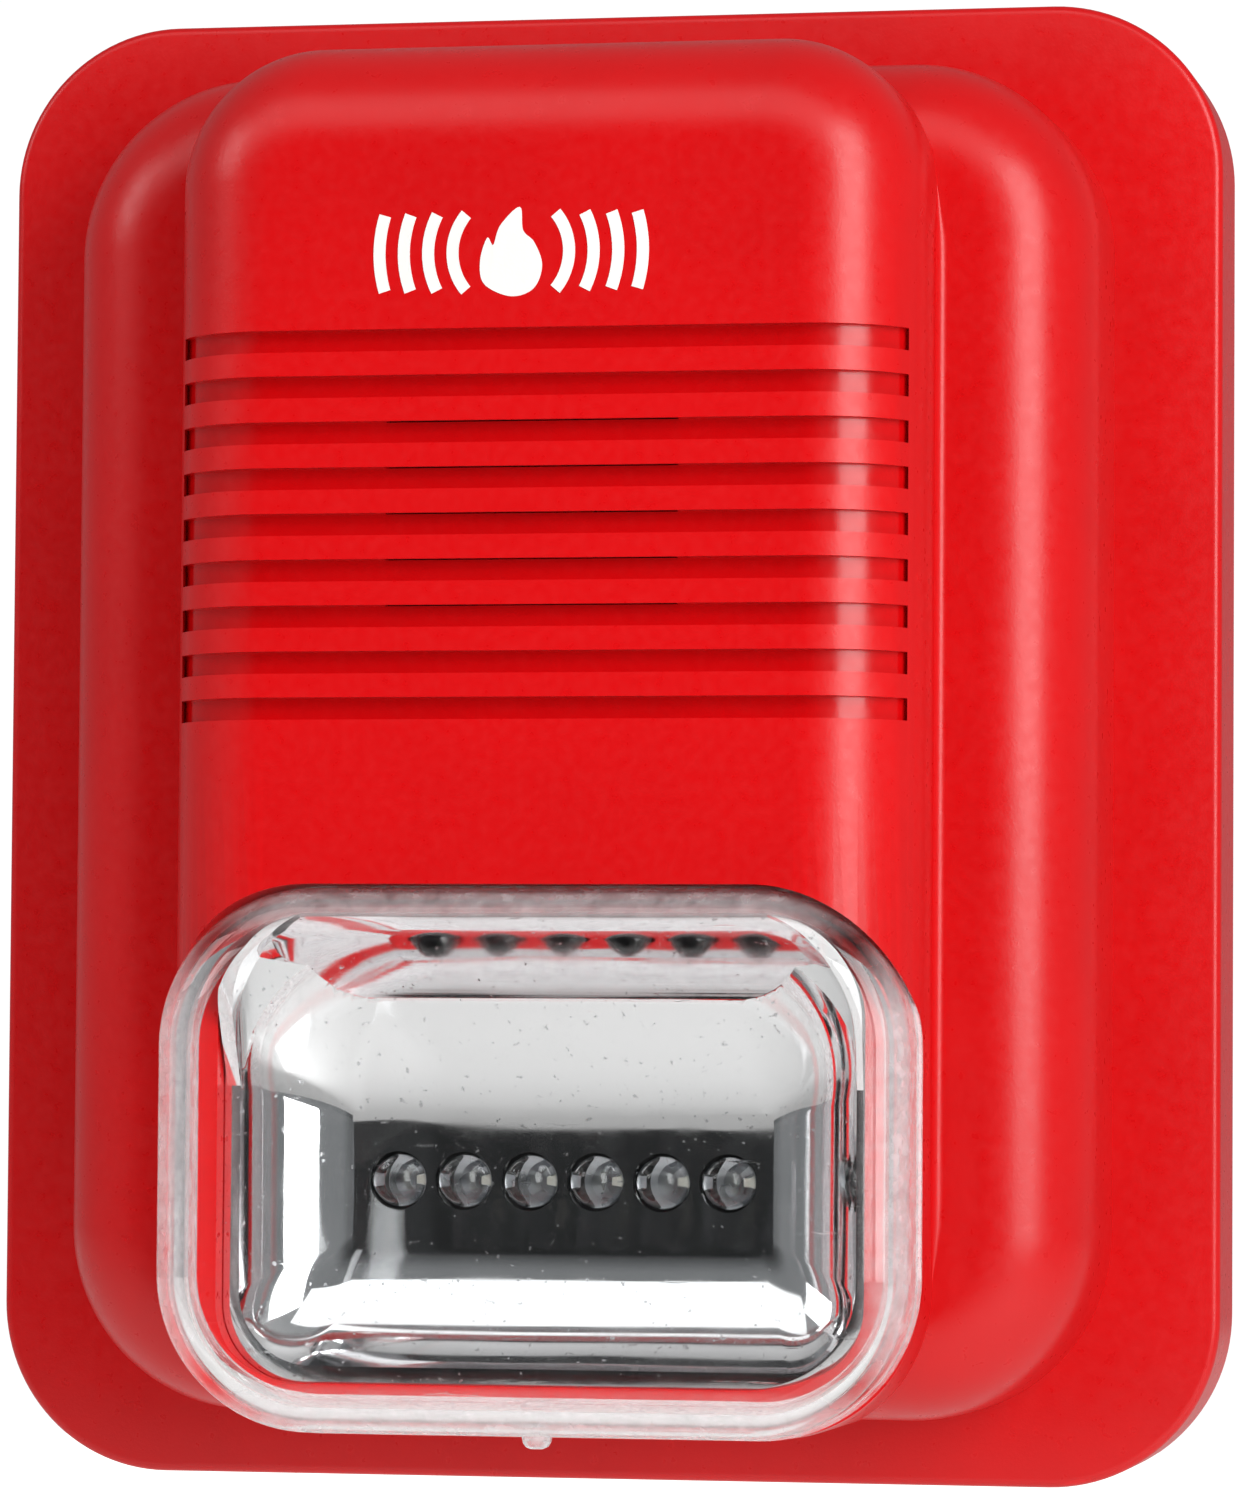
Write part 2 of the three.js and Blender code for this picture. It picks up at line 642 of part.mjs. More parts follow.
function poleX(n) {
  return (n - (TERMINAL.poles - 1) / 2) * TERMINAL.pitch;
}

function terminalBlock() {
  const { poles, z, halfX, halfZ, back, front } = TERMINAL;
  const cuts = [];
  for (let n = 0; n < poles; n += 1) {
    cuts.push(rod(1.9, back - 1, back + 3.6, poleX(n), z, 16));
    cuts.push(box(poleX(n) - 1.7, poleX(n) + 1.7, 8.8, 12.6, z - halfZ - 1, z + 2));
  }
  return cut(box(-halfX, halfX, back, front, z - halfZ, z + halfZ), ...cuts);
}

function terminalScrew() {
  const blank = rod(1.6, 0, 3, 0, 0, 16);
  return cut(blank, box(-3, 3, -1, 0.8, -0.3, 0.3));
}

function leverX(n) {
  return SWITCH.x + (n === 0 ? -0.5 : 0.5) * SWITCH.pitch;
}

function dipSwitch() {
  const { x, z, halfX, halfZ, back, front } = SWITCH;
  const low = z - 0.6 - LEVER.halfZ - GAP;
  const high = z - 0.6 + LEVER.halfZ + LEVER.travel + GAP;
  const wide = LEVER.halfX + GAP;
  const deep = back + LEVER.deep + GAP;
  const wells = [0, 1].map((n) => box(leverX(n) - wide, leverX(n) + wide, back - 1, deep, low, high));
  return cut(box(x - halfX, x + halfX, back, front, z - halfZ, z + halfZ), ...wells);
}

function dipLever() {
  return box(-LEVER.halfX, LEVER.halfX, -LEVER.proud, LEVER.deep, -LEVER.halfZ, LEVER.halfZ);
}

function capacitor() {
  return turned([[0, 0], [4.6, 0], [5, 0.5], [5, 1.6], [4.6, 2], [5, 2.4], [5, 11.5], [4.6, 12], [0, 12]]);
}

function inductor() {
  return turned([[0, 0], [4.5, 0], [4.5, 1.4], [3.9, 1.6], [3.9, 6.4], [4.5, 6.6], [4.5, 8], [0, 8]]);
}

function chip() {
  const made = [box(-2.5, 2.5, 0.2, 1.7, -2, 2)];
  for (let pin = 0; pin < 4; pin += 1) {
    const x = (pin - 1.5) * 1.27;
    made.push(box(x - 0.2, x + 0.2, 0, 0.9, -3, 3));
  }
  return join(...made);
}

function transistor() {
  const made = [cut(rod(2.4, 2.2, 6.8, 0, 0, 20), box(-3, 3, 0, 8, -4, -1.3))];
  for (const x of [-1.27, 0, 1.27]) {
    made.push(box(x - 0.22, x + 0.22, 0, 2.6, -0.22, 0.22));
  }
  return join(...made);
}

// A part with a wire from each end bent down to the board, lying upright along Z.
function axialPart(radius, halfLong, reach) {
  const geometry = new THREE.CylinderGeometry(radius, radius, 2 * halfLong, 14);
  geometry.rotateX(Math.PI / 2);
  geometry.translate(0, -(radius + 0.5), 0);
  const lift = radius + 0.5;
  const wire = box(-0.3, 0.3, lift - 0.3, lift + 0.3, -reach, reach);
  const legs = [-1, 1].map((end) => {
    const z = end * (reach - 0.3);
    return box(-0.3, 0.3, 0, lift + 0.3, z - 0.3, z + 0.3);
  });
  return join(solid(geometry), wire, ...legs);
}

function addElectronics() {
  piece("main_board", mainBoard(), materials.greenBoard);
  piece("terminal_block", terminalBlock(), materials.terminalGreen);
  const clamp = terminalScrew();
  for (let n = 0; n < TERMINAL.poles; n += 1) {
    const depth = TERMINAL.back + GAP;
    piece(`terminal_screw_${n + 1}`, clamp, materials.steel, poleX(n), depth, TERMINAL.z);
  }
  piece("dip_switch", dipSwitch(), materials.switchBlue);
  for (const n of [0, 1]) {
    const z = SWITCH.z - LEVER.travel / 2;
    piece(`dip_lever_${n + 1}`, dipLever(), materials.whitePlastic, leverX(n), SWITCH.back, z);
  }
  const resistor = axialPart(1.15, 3.1, 5.1);
  const fitted = {
    capacitor: [capacitor(), materials.canSleeve],
    inductor: [inductor(), materials.ferrite],
    controller_ic: [chip(), materials.blackPlastic],
    transistor: [transistor(), materials.blackPlastic],
    diode: [axialPart(1.35, 2.6, 5.1), materials.blackPlastic],
    resistor_1: [resistor, materials.resistorTan],
    resistor_2: [resistor, materials.resistorTan],
  };
  for (const [name, [made, material]] of Object.entries(fitted)) {
    const [x, z] = ON_BOARD[name];
    piece(name, made, material, x, BOARD.front + GAP, z);
  }
}

// ---------------------------------------------------------------- wall plate

// A keyhole: a round hole for a screw head with a narrow slot above it.
function keyhole() {
  const { z, radius, slot, high } = KEYHOLE;
  return join(rod(radius, -5, 10, 0, z, 14), box(-slot, slot, -5, 10, z, z + high));
}

function screwSlot(x, z) {
  const { half, long } = SCREW_SLOT;
  return slab(rounded(half, -long / 2, long / 2, half - 0.01), -5, 10).translate([x, 0, z]);
}

function cableWindow({ halfX, bottom, top, corner }) {
  return slab(rounded(halfX, bottom, top, corner), -5, 10);
}

// A hook that cradles one bead of the cover, open at the top so that the cover lifts off.
function plateHook(x) {
  const { z, depth } = HINGE;
  const half = HINGE.halfLong - 1;
  const seat = HINGE.bead + GAP;
  const block = box(x - half, x + half, 0, depth * 2, PLATE.top - 1, z + 0.5);
  const mouth = box(x - 10, x + 10, depth - seat, depth + seat, z, z + 5);
  return cut(block, bar(seat, 10, x, depth, z, 16), mouth);
}

function mountingPlate() {
  const { halfX, bottom, top, corner, thick, rim, rimFront } = PLATE;
  const base = slab(rounded(halfX, bottom, top, corner), 0, thick);
  const rimOuter = slab(rounded(halfX, bottom, top, corner), 0.5, rimFront);
  const rimOutline = rounded(halfX - rim, bottom + rim, top - rim, corner - rim);
  const rimInner = slab(rimOutline, -5, 20);
  const lug = box(-LOCK_LUG.halfX, LOCK_LUG.halfX, 1, LOCK_LUG.front, LOCK_LUG.bottom, LOCK_LUG.top);
  const hooks = [-1, 1].map((side) => plateHook(side * HINGE.x));
  const solidPlate = join(base, cut(rimOuter, rimInner), lug, ...hooks);
  const slots = bothSides(BOX_SCREWS, 0);
  slots.push(...bothSides(CORNER_SCREWS.x, CORNER_SCREWS.high));
  slots.push(...bothSides(CORNER_SCREWS.x, CORNER_SCREWS.low));
  const holes = slots.map(([x, z]) => screwSlot(x, z));
  const thread = post(LOCK.thread + GAP, -70, -50, LOCK.depth, 16);
  const rimGap = box(-LOCK_LUG.halfX, LOCK_LUG.halfX, thick, 20, bottom - 1, -62);
  return cut(solidPlate, cableWindow(LOW_WINDOW), cableWindow(HIGH_WINDOW), keyhole(), ...holes, thread, rimGap);
}

// ---------------------------------------------------------------- locking screw

function lockScrew() {
  const { depth, thread, head, headBottom, headHigh, tip } = LOCK;
  const shoulder = headBottom + headHigh;
  const body = join(
    post(head, headBottom, shoulder, depth, 20),
    post(thread, shoulder - 0.2, tip, depth, 14),
  );
  const slotCut = box(-4, 4, depth - 0.4, depth + 0.4, headBottom - 1, headBottom + 0.9);
  return cut(body, slotCut);
}

function lockRetainer() {
  const { radius, bottom, top } = LOCK_RETAINER;
  const bore = post(LOCK.thread + GAP, bottom - 1, top + 1, LOCK.depth, 16);
  return cut(post(radius, bottom, top, LOCK.depth, 20), bore);
}

// ---------------------------------------------------------------- the whole unit

piece("mounting_plate", mountingPlate(), materials.platePlastic);
piece("front_cover", frontCover(), materials.redPlastic);
piece("lens", lens(), materials.clearPlastic);
piece("reflector", reflector(), materials.chrome);
addLight();
addSounder();
addElectronics();
addScrews();
piece("lock_screw", lockScrew(), materials.steel);
piece("lock_retainer", lockRetainer(), materials.nylon);

export default unit;
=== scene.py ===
"""A wall-mounted horn strobe: the looks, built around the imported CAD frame."""

import json
import math

import bmesh
import bpy
from mathutils import Matrix, Vector


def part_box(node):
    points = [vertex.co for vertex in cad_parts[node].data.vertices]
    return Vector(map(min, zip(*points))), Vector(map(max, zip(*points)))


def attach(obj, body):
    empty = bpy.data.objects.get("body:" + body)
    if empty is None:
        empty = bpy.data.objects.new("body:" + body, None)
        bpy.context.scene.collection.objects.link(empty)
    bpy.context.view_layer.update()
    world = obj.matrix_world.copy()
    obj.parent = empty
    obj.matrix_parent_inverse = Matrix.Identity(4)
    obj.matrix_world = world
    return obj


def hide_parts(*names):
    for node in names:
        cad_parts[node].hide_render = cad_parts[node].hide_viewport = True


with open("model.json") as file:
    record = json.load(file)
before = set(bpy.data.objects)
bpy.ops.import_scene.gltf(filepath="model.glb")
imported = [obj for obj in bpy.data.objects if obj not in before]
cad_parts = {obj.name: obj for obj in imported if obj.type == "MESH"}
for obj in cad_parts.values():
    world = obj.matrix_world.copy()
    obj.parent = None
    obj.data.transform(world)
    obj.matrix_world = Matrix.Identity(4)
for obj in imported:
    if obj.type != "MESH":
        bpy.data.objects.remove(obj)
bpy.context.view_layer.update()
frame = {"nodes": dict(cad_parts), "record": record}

MM = 0.001
FRONT = "front_unit"

# ------------------------------------------------------------------ dimensions, mm
# depth is measured out of the wall, so a point at depth d has y = -d

# the cover, from the wall outwards
WALL = 2.4
TRAY = dict(half_x=61.1, bottom=-72.5, top=72.5, corner=16.7, front=12.9, edge=0.9, crown=0.6, rise=10.0)
SHOULDER = dict(half_x=50.66, bottom=-65.8, top=65.3, corner=18.0, front=33.0, edge=10.0, draft=1.0)
COLUMN = dict(half_x=36.1, bottom=-66.8, top=65.5, corner=14.0, front=48.9, edge=10.7)
REAR_EDGE = 0.6
GROOVE = dict(count=9, top=37.3, pitch=4.34, height=2.1, half_x=35.0, deep=1.3)
LOUVRE = dict(first=2, last=6, height=0.8, half_x=14.0, back=46.0, front=48.2)
LENS = dict(half_x=36.0, bottom=-66.6, top=-15.2, corner=15.0, front=50.0, edge=4.0, wall=2.0, seat=0.3,
            lip=0.25)
# where the lens's pinkish-white painted reflection starts and is full, and how strong it is
PAINTED_RIM_STARTS, PAINTED_RIM_FULL, PAINTED_RIM_STRENGTH = 0.0048, 0.0008, 0.36  # metres in from the lens's outline
PLATFORM = 40.0  # the floor of the lens's seat

# the reflector: its floor strip, how far the bowl's walls spread from it, the hood above and the rim
DISH = dict(half_x=20.6, bottom=-49.65, top=-36.35, corner=1.2, floor=30.5, sag=0.35, rim=37.3, wall=1.3)
SPREAD = dict(side=9.5, bottom=11.0, top=16.2, low_corner=6.0, high_corner=13.0, start=12.0, end=55.0)
HOOD = dict(crease=-25.75, depth=33.7, top=-17.5, slope=43.5, curl=2.4)  # slopes in degrees, curl per mm
HOOD_ROOM = dict(half_x=27.0, lift=1.5, top=-18.8, back=30.0)
CHEEK = dict(half_x=31.4, bottom=-34.0, top=-17.5, corner=9.5, front=45.9)
MOUTH = dict(half_x=30.1, bottom=-60.65, top=-17.0, low_corner=6.0, high_corner=11.0)
FLANGE = dict(half_x=33.1, bottom=-63.8, top=-13.4, corner=11.0, thick=1.2)

# fixings, LEDs and marking
REFLECTOR_SCREW = dict(x=22.0, z=-15.4, hole=1.05)
BOARD_FRONT, LED_BOARD_FRONT = 16.0, 23.4
BOARD_SCREW = dict(x=41.0, z=50.0, boss=3.2, hole=1.5, deep=26.0)
SOUNDER_EAR = dict(x=27.5, z=19.1, boss=3.0, back=40.0, hole=1.25, deep=45.0)
BOSS_BURIED = 1.4  # how far below the front face a boss ends inside the wall
LED = dict(count=6, pitch=6.46, z=-43.0, hole=2.8, radius=2.5, collar=2.9, collar_high=1.0)
LED_CUP = [(0, 3.2), (1.05, 3.2), (1.15, 4.7), (0.85, 4.7), (0.45, 4.1), (0, 4.1)]  # radius, depth
STUD = dict(x=21.5, radius=2.2, hole=1.1, front=29.8, deep=25.6)
HINGE = dict(x=30.0, z=68.2, depth=2.0, bead=1.0, half_long=4.0, swing=35.0, web=0.6, start=1.05)
LOCK = dict(depth=6.9, boss=4.1, low=-71.0, high=-64.9, head=3.1, seat=-66.9, thread=1.75)
FILLET = dict(radius=1.1, half_long=52.0, buried=0.6, fade=9, least=0.03)
GATE_NIB = dict(depth=41.9, steps=((0.0, 1.4), (0.55, 1.25), (0.85, 1.0), (1.0, 0.6)))  # along, half width
SIGN = dict(x=-1.9, z=44.4, flame=8.4, waves=4, first=5.6, step=2.35, width=1.15, rise=3.6)
INK_SUNK, INK_RAISED = 0.02, 0.06
SIDES = (-1, 1)


def at(x, depth, z):
    """A point of the object, from millimetres."""
    return Vector((x, -depth, z)) * MM


# ------------------------------------------------------------------ mesh tools


def new_object(name, mesh):
    obj = bpy.data.objects.new(name, mesh)
    bpy.context.scene.collection.objects.link(obj)
    return obj


def from_bmesh(name, bm):
    bmesh.ops.recalc_face_normals(bm, faces=bm.faces)
    mesh = bpy.data.meshes.new(name)
    bm.to_mesh(mesh)
    bm.free()
    return new_object(name, mesh)


def rounded_points(half_x, bottom, top, corner, steps, low_corner=None):
    """The outline of an upright rectangle with rounded corners, as (x, z) pairs."""
    high = max(corner, 0.02)
    low = high if low_corner is None else max(low_corner, 0.02)
    centres = [(half_x - high, top - high, high), (high - half_x, top - high, high),
               (low - half_x, bottom + low, low), (half_x - low, bottom + low, low)]
    points = []
    for quarter, (cx, cz, corner) in enumerate(centres):
        for i in range(steps + 1):
            angle = (quarter + i / steps) * math.pi / 2
            points.append((cx + corner * math.cos(angle), cz + corner * math.sin(angle)))
    return points


def skin(name, rings):
    """Joins rings of points, each a list of vectors, into one closed solid."""
    bm = bmesh.new()
    made = [[bm.verts.new(p) for p in ring] for ring in rings]
    for low, high in zip(made, made[1:]):
        for i in range(len(low)):
            j = (i + 1) % len(low)
            bm.faces.new((low[i], low[j], high[j], high[i]))
    bm.faces.new(made[0])
    bm.faces.new(made[-1])
    return from_bmesh(name, bm)


def rounded_rings(shape, profile, steps=20):
    """Rings of one rounded rectangle, for (depth, inset) pairs."""
    rings = []
    for depth, inset in profile:
        outline = rounded_points(shape["half_x"] - inset, shape["bottom"] + inset, shape["top"] - inset,
                                 shape["corner"] - inset, steps)
        rings.append([at(x, depth, z) for x, z in outline])
    return rings


def edge_profile(back, front, edge, draft=0.0, base=0.0, steps=14):
    """Depth and inset down a side wall with a draft angle, then round an edge onto the front."""
    lean = math.tan(math.radians(draft))
    start = front - edge
    profile = [(back, 0.0), (base, 0.0)] if base > back else [(back, 0.0)]
    side = (start - max(base, back)) * lean
    for i in range(steps + 1):
        turn = i / steps * math.pi / 2
        profile.append((start + edge * math.sin(turn), side + edge * (1 - math.cos(turn))))
    return profile


def slab(name, shape, back, front, edge=0.0, draft=0.0, base=0.0, steps=20, inset=0.0):
    """A rounded rectangle between two depths, its sides drafted and its front edge rounded."""
    shape = dict(shape, half_x=shape["half_x"] - inset, bottom=shape["bottom"] + inset,
                 top=shape["top"] - inset, corner=shape["corner"] - inset)
    if edge > 0:
        profile = edge_profile(back, front, edge, draft, base)
    else:
        profile = [(back, 0.0), (front, 0.0)]
    return skin(name, rounded_rings(shape, profile, steps))


def box(name, x0, x1, back, front, z0, z1):
    ring = [(x0, z0), (x1, z0), (x1, z1), (x0, z1)]
    return skin(name, [[at(x, d, z) for x, z in ring] for d in (back, front)])


def across(name, section, half_x):
    """A section of (height, depth) corners run straight across the unit."""
    return skin(name, [[at(x, depth, z) for z, depth in section] for x in (-half_x, half_x)])


def circle(radius, sides):
    """Points round a circle, as pairs of offsets from its centre."""
    turns = [i / sides * math.tau for i in range(sides)]
    return [(radius * math.cos(t), radius * math.sin(t)) for t in turns]


def rod(name, radius, back, front, x, z, sides=40):
    """A round bar along the depth."""
    points = circle(radius, sides)
    return skin(name, [[at(x + a, depth, z + b) for a, b in points] for depth in (back, front)])


def post(name, radius, bottom, top, depth, sides=40):
    """A round bar that stands upright."""
    points = circle(radius, sides)
    return skin(name, [[at(a, depth + b, z) for a, b in points] for z in (bottom, top)])


def bar(name, radius, x0, x1, depth, z, sides=32):
    """A round bar along X."""
    points = circle(radius, sides)
    return skin(name, [[at(x, depth + a, z + b) for a, b in points] for x in (x0, x1)])


def turned(name, profile, x, z, sides=48):
    """A solid turned about the depth axis at x, z, from (radius, depth) pairs that start and end on it."""
    bm = bmesh.new()
    rings = []
    for radius, depth in profile:
        if radius < 1e-6:
            rings.append([bm.verts.new(at(x, depth, z))])
            continue
        rings.append([bm.verts.new(at(x + a, depth, z + b)) for a, b in circle(radius, sides)])
    for low, high in zip(rings, rings[1:]):
        for i in range(sides):
            j = (i + 1) % sides
            corners = [low[i % len(low)], low[j % len(low)], high[j % len(high)], high[i % len(high)]]
            bm.faces.new(list(dict.fromkeys(corners)))
    return from_bmesh(name, bm)


def settle(obj):
    """Replaces an object's mesh by what its modifiers make of it."""
    graph = bpy.context.evaluated_depsgraph_get()
    mesh = bpy.data.meshes.new_from_object(obj.evaluated_get(graph))
    obj.modifiers.clear()
    old = obj.data
    obj.data = mesh
    bpy.data.meshes.remove(old)


def boolean(obj, tools, operation):
    for tool in tools:
        step = obj.modifiers.new(tool.name, "BOOLEAN")
        step.operation = operation
        step.object = tool
        step.solver = "EXACT"
    settle(obj)
    for tool in tools:
        mesh = tool.data
        bpy.data.objects.remove(tool)
        bpy.data.meshes.remove(mesh)
    return obj


def join(obj, *tools):
    return boolean(obj, tools, "UNION")


def cut(obj, *tools):
    return boolean(obj, tools, "DIFFERENCE")


def smooth(obj, angle=28.0):
    """Smooth shading, with creases where faces meet at more than the angle."""
    bm = bmesh.new()
    bm.from_mesh(obj.data)
    bmesh.ops.remove_doubles(bm, verts=bm.verts, dist=1e-7)
    for face in bm.faces:
        face.smooth = True
    limit = math.radians(angle)
    for edge in bm.edges:
        edge.smooth = len(edge.link_faces) == 2 and edge.calc_face_angle(0.0) < limit
    bm.to_mesh(obj.data)
    bm.free()
    weigh = obj.modifiers.new("weighted_normals", "WEIGHTED_NORMAL")
    weigh.keep_sharp = True
    weigh.weight = 100
    return obj


# ------------------------------------------------------------------ materials


class Nodes:
    """A short way to write a node material."""

    def __init__(self, name, material=None):
        self.material = material or bpy.data.materials.new(name)
        self.material.use_nodes = True
        self.tree = self.material.node_tree
        self.shader = self.tree.nodes["Principled BSDF"]
        self.output = self.tree.nodes["Material Output"]

    def add(self, kind, inputs=None, **settings):
        node = self.tree.nodes.new(kind)
        for key, value in settings.items():
            setattr(node, key, value)
        for key, value in (inputs or {}).items():
            if isinstance(value, bpy.types.NodeSocket):
                self.tree.links.new(value, node.inputs[key])
            else:
                node.inputs[key].default_value = value
        return node

    def set(self, **values):
        for key, value in values.items():
            socket = self.shader.inputs[key.replace("_", " ")]
            if isinstance(value, bpy.types.NodeSocket):
                self.tree.links.new(value, socket)
            else:
                socket.default_value = value

    def where(self):
        return self.add("ShaderNodeTexCoord").outputs["Object"]

    def noise(self, scale, detail=2.0, rough=0.5):
        made = self.add("ShaderNodeTexNoise", {"Vector": self.where(), "Scale": scale, "Detail": detail,
                                               "Roughness": rough})
        return made.outputs["Fac"]

    def spread(self, value, low, high, from_low=0.0, from_high=1.0):
        made = self.add("ShaderNodeMapRange", {"Value": value, "From Min": from_low, "From Max": from_high,
                                               "To Min": low, "To Max": high})
        return made.outputs["Result"]

    def blend(self, factor, one, two):
        made = self.add("ShaderNodeMix", data_type="RGBA")
        ends = {0: factor, 6: one, 7: two}
        for index, value in ends.items():
            if isinstance(value, bpy.types.NodeSocket):
                self.tree.links.new(value, made.inputs[index])
            else:
                made.inputs[index].default_value = value
        return made.outputs[2]

    def bump(self, height, strength, distance):
        made = self.add("ShaderNodeBump", {"Height": height, "Strength": strength, "Distance": distance})
        return made.outputs["Normal"]

    def worn_edges(self, low=0.53, high=0.62):
        """Near 1 on outward edges and 0 elsewhere."""
        pointed = self.add("ShaderNodeNewGeometry").outputs["Pointiness"]
        return self.spread(pointed, 0.0, 1.0, low, high)


def shade(color, by):
    return tuple(min(1.0, c * by) for c in color[:3]) + (1.0,)


def rgb(red, green, blue):
    """A linear colour from screen values of 0 to 255."""
    def line(value):
        value /= 255
        return value / 12.92 if value <= 0.04045 else ((value + 0.055) / 1.055) ** 2.4
    return (line(red), line(green), line(blue), 1.0)


def moulded(name, color, roughness=0.42, grain=0.35, wear=1.12, specular=0.5):
    """Moulded plastic: a spark-eroded grain, slight shifts of colour and gloss, and lighter edges."""
    n = Nodes(name)
    base = n.blend(n.spread(n.noise(60.0, 3.0), 0.0, 1.0, 0.35, 0.65), shade(color, 0.97), shade(color, 1.03))
    base = n.blend(n.worn_edges(), base, shade(color, wear))
    rough = n.spread(n.noise(900.0, 2.0), roughness - 0.04, roughness + 0.05, 0.3, 0.7)
    n.set(Base_Color=base, Roughness=rough, Normal=n.bump(n.noise(3200.0, 2.0, 0.6), grain, 0.00004))
    n.shader.inputs["IOR"].default_value = 1.5
    n.shader.inputs["Specular IOR Level"].default_value = specular
    return n.material


def metal(name, color, roughness=0.28):
    """Plated or bare metal with faint brushing and slightly duller patches."""
    n = Nodes(name)
    stretch = n.add("ShaderNodeMapping", {"Vector": n.where(), "Scale": (3000.0, 3000.0, 260.0)})
    lines = n.add("ShaderNodeTexNoise", {"Vector": stretch.outputs["Vector"], "Scale": 1.0, "Detail": 2.0})
    base = n.blend(n.spread(n.noise(300.0), 0.0, 1.0, 0.3, 0.7), shade(color, 0.9), shade(color, 1.05))
    rough = n.spread(n.noise(700.0), roughness - 0.06, roughness + 0.08, 0.3, 0.7)
    n.set(Base_Color=base, Roughness=rough, Metallic=1.0,
          Normal=n.bump(lines.outputs["Fac"], 0.15, 0.00002))
    return n.material


def chrome_coating():
    """Vacuum-metallised plastic: a mirror with a very faint ripple, dust and a few dull specks."""
    n = Nodes("chrome_coating")
    specks = n.spread(n.noise(1500.0, 2.0), 0.0, 1.0, 0.66, 0.74)
    haze = n.spread(n.noise(140.0, 3.0), 0.03, 0.09, 0.35, 0.7)
    rough = n.add("ShaderNodeMath", {0: haze, 1: n.spread(specks, 0.0, 0.25)}, operation="ADD")
    base = n.blend(specks, (0.9, 0.9, 0.91, 1.0), (0.62, 0.62, 0.64, 1.0))
    n.set(Base_Color=base, Metallic=1.0, Roughness=rough.outputs["Value"],
          Normal=n.bump(n.noise(48.0, 1.0), 0.3, 0.0005))
    return n.material


def clear_plastic(name, tint=(0.97, 0.98, 0.98, 1.0), roughness=0.02, ior=1.49, scratches=True):
    """Clear moulded plastic that lets lamps through, with fine scratches and dust on its surface."""
    n = Nodes(name)
    rough = n.spread(n.noise(250.0, 3.0), roughness, roughness + 0.04, 0.45, 0.75)
    n.set(Base_Color=tint, Roughness=rough)
    n.shader.inputs["Transmission Weight"].default_value = 1.0
    n.shader.inputs["IOR"].default_value = ior
    if scratches:
        slim = n.add("ShaderNodeMapping", {"Vector": n.where(), "Scale": (60.0, 60.0, 900.0),
                                           "Rotation": (0.3, 0.5, 0.9)})
        fine = n.add("ShaderNodeTexNoise", {"Vector": slim.outputs["Vector"], "Scale": 2.0, "Detail": 3.0})
        cuts = n.spread(fine.outputs["Fac"], 0.0, 1.0, 0.7, 0.74)
        n.set(Normal=n.bump(cuts, 0.2, 0.00003))
    clear = n.add("ShaderNodeBsdfTransparent", {"Color": (0.93, 0.94, 0.94, 1.0)})
    path = n.add("ShaderNodeLightPath")
    mix = n.add("ShaderNodeMixShader", {0: path.outputs["Is Shadow Ray"], 1: n.shader.outputs["BSDF"],
                                        2: clear.outputs["BSDF"]})
    n.tree.links.new(mix.outputs["Shader"], n.output.inputs["Surface"])
    return n.material


def lens_with_painted_rim():
    """The clear cap with dust and scuffs; near its outline a mottled pinkish-white painted reflection stands
    in for the light seen in its thick rounded wall.
    """
    n = Nodes("clear_plastic", clear_plastic("clear_plastic"))

    def calculate(operation, *values):
        return n.add("ShaderNodeMath", dict(enumerate(values)), operation=operation).outputs["Value"]

    def near_edge(distance, half):
        return n.spread(distance, 0.0, 1.0, half - PAINTED_RIM_STARTS, half - PAINTED_RIM_FULL)

    place = n.add("ShaderNodeSeparateXYZ", {"Vector": n.where()})
    middle = (LENS["bottom"] + LENS["top"]) / 2 * MM
    half_z = (LENS["top"] - LENS["bottom"]) / 2 * MM
    across_x = calculate("ABSOLUTE", place.outputs["X"])
    across_z = calculate("ABSOLUTE", calculate("SUBTRACT", place.outputs["Z"], middle))
    wall = calculate("MAXIMUM", near_edge(across_x, LENS["half_x"] * MM), near_edge(across_z, half_z))
    rim_mottle = n.spread(n.noise(420.0, 4.0, 0.7), 0.35, 1.0, 0.35, 0.65)
    amount = calculate("MULTIPLY", calculate("MULTIPLY", wall, rim_mottle), PAINTED_RIM_STRENGTH)
    # painted reflection: a pinkish-white diffuse layer standing in for the light seen in the lens's thick
    # wall
    painted_rim = n.add("ShaderNodeBsdfDiffuse", {"Color": (0.9, 0.84, 0.85, 1.0)})
    clear = n.output.inputs["Surface"].links[0].from_socket
    mix = n.add("ShaderNodeMixShader", {0: amount, 1: clear, 2: painted_rim.outputs["BSDF"]})
    n.tree.links.new(mix.outputs["Shader"], n.output.inputs["Surface"])
    return n.material


def circuit_board(name, mask, trace):
    """A solder-masked board: faint copper runs under the mask and a fine weave."""
    n = Nodes(name)
    cells = n.add("ShaderNodeTexVoronoi", {"Vector": n.where(), "Scale": 260.0}, distance="CHEBYCHEV",
                  feature="F2")
    runs = n.spread(cells.outputs["Distance"], 0.0, 1.0, 0.52, 0.56)
    base = n.blend(runs, mask, trace)
    n.set(Base_Color=base, Roughness=n.spread(n.noise(500.0), 0.28, 0.42, 0.3, 0.7),
          Normal=n.bump(runs, 0.3, 0.00003))
    return n.material


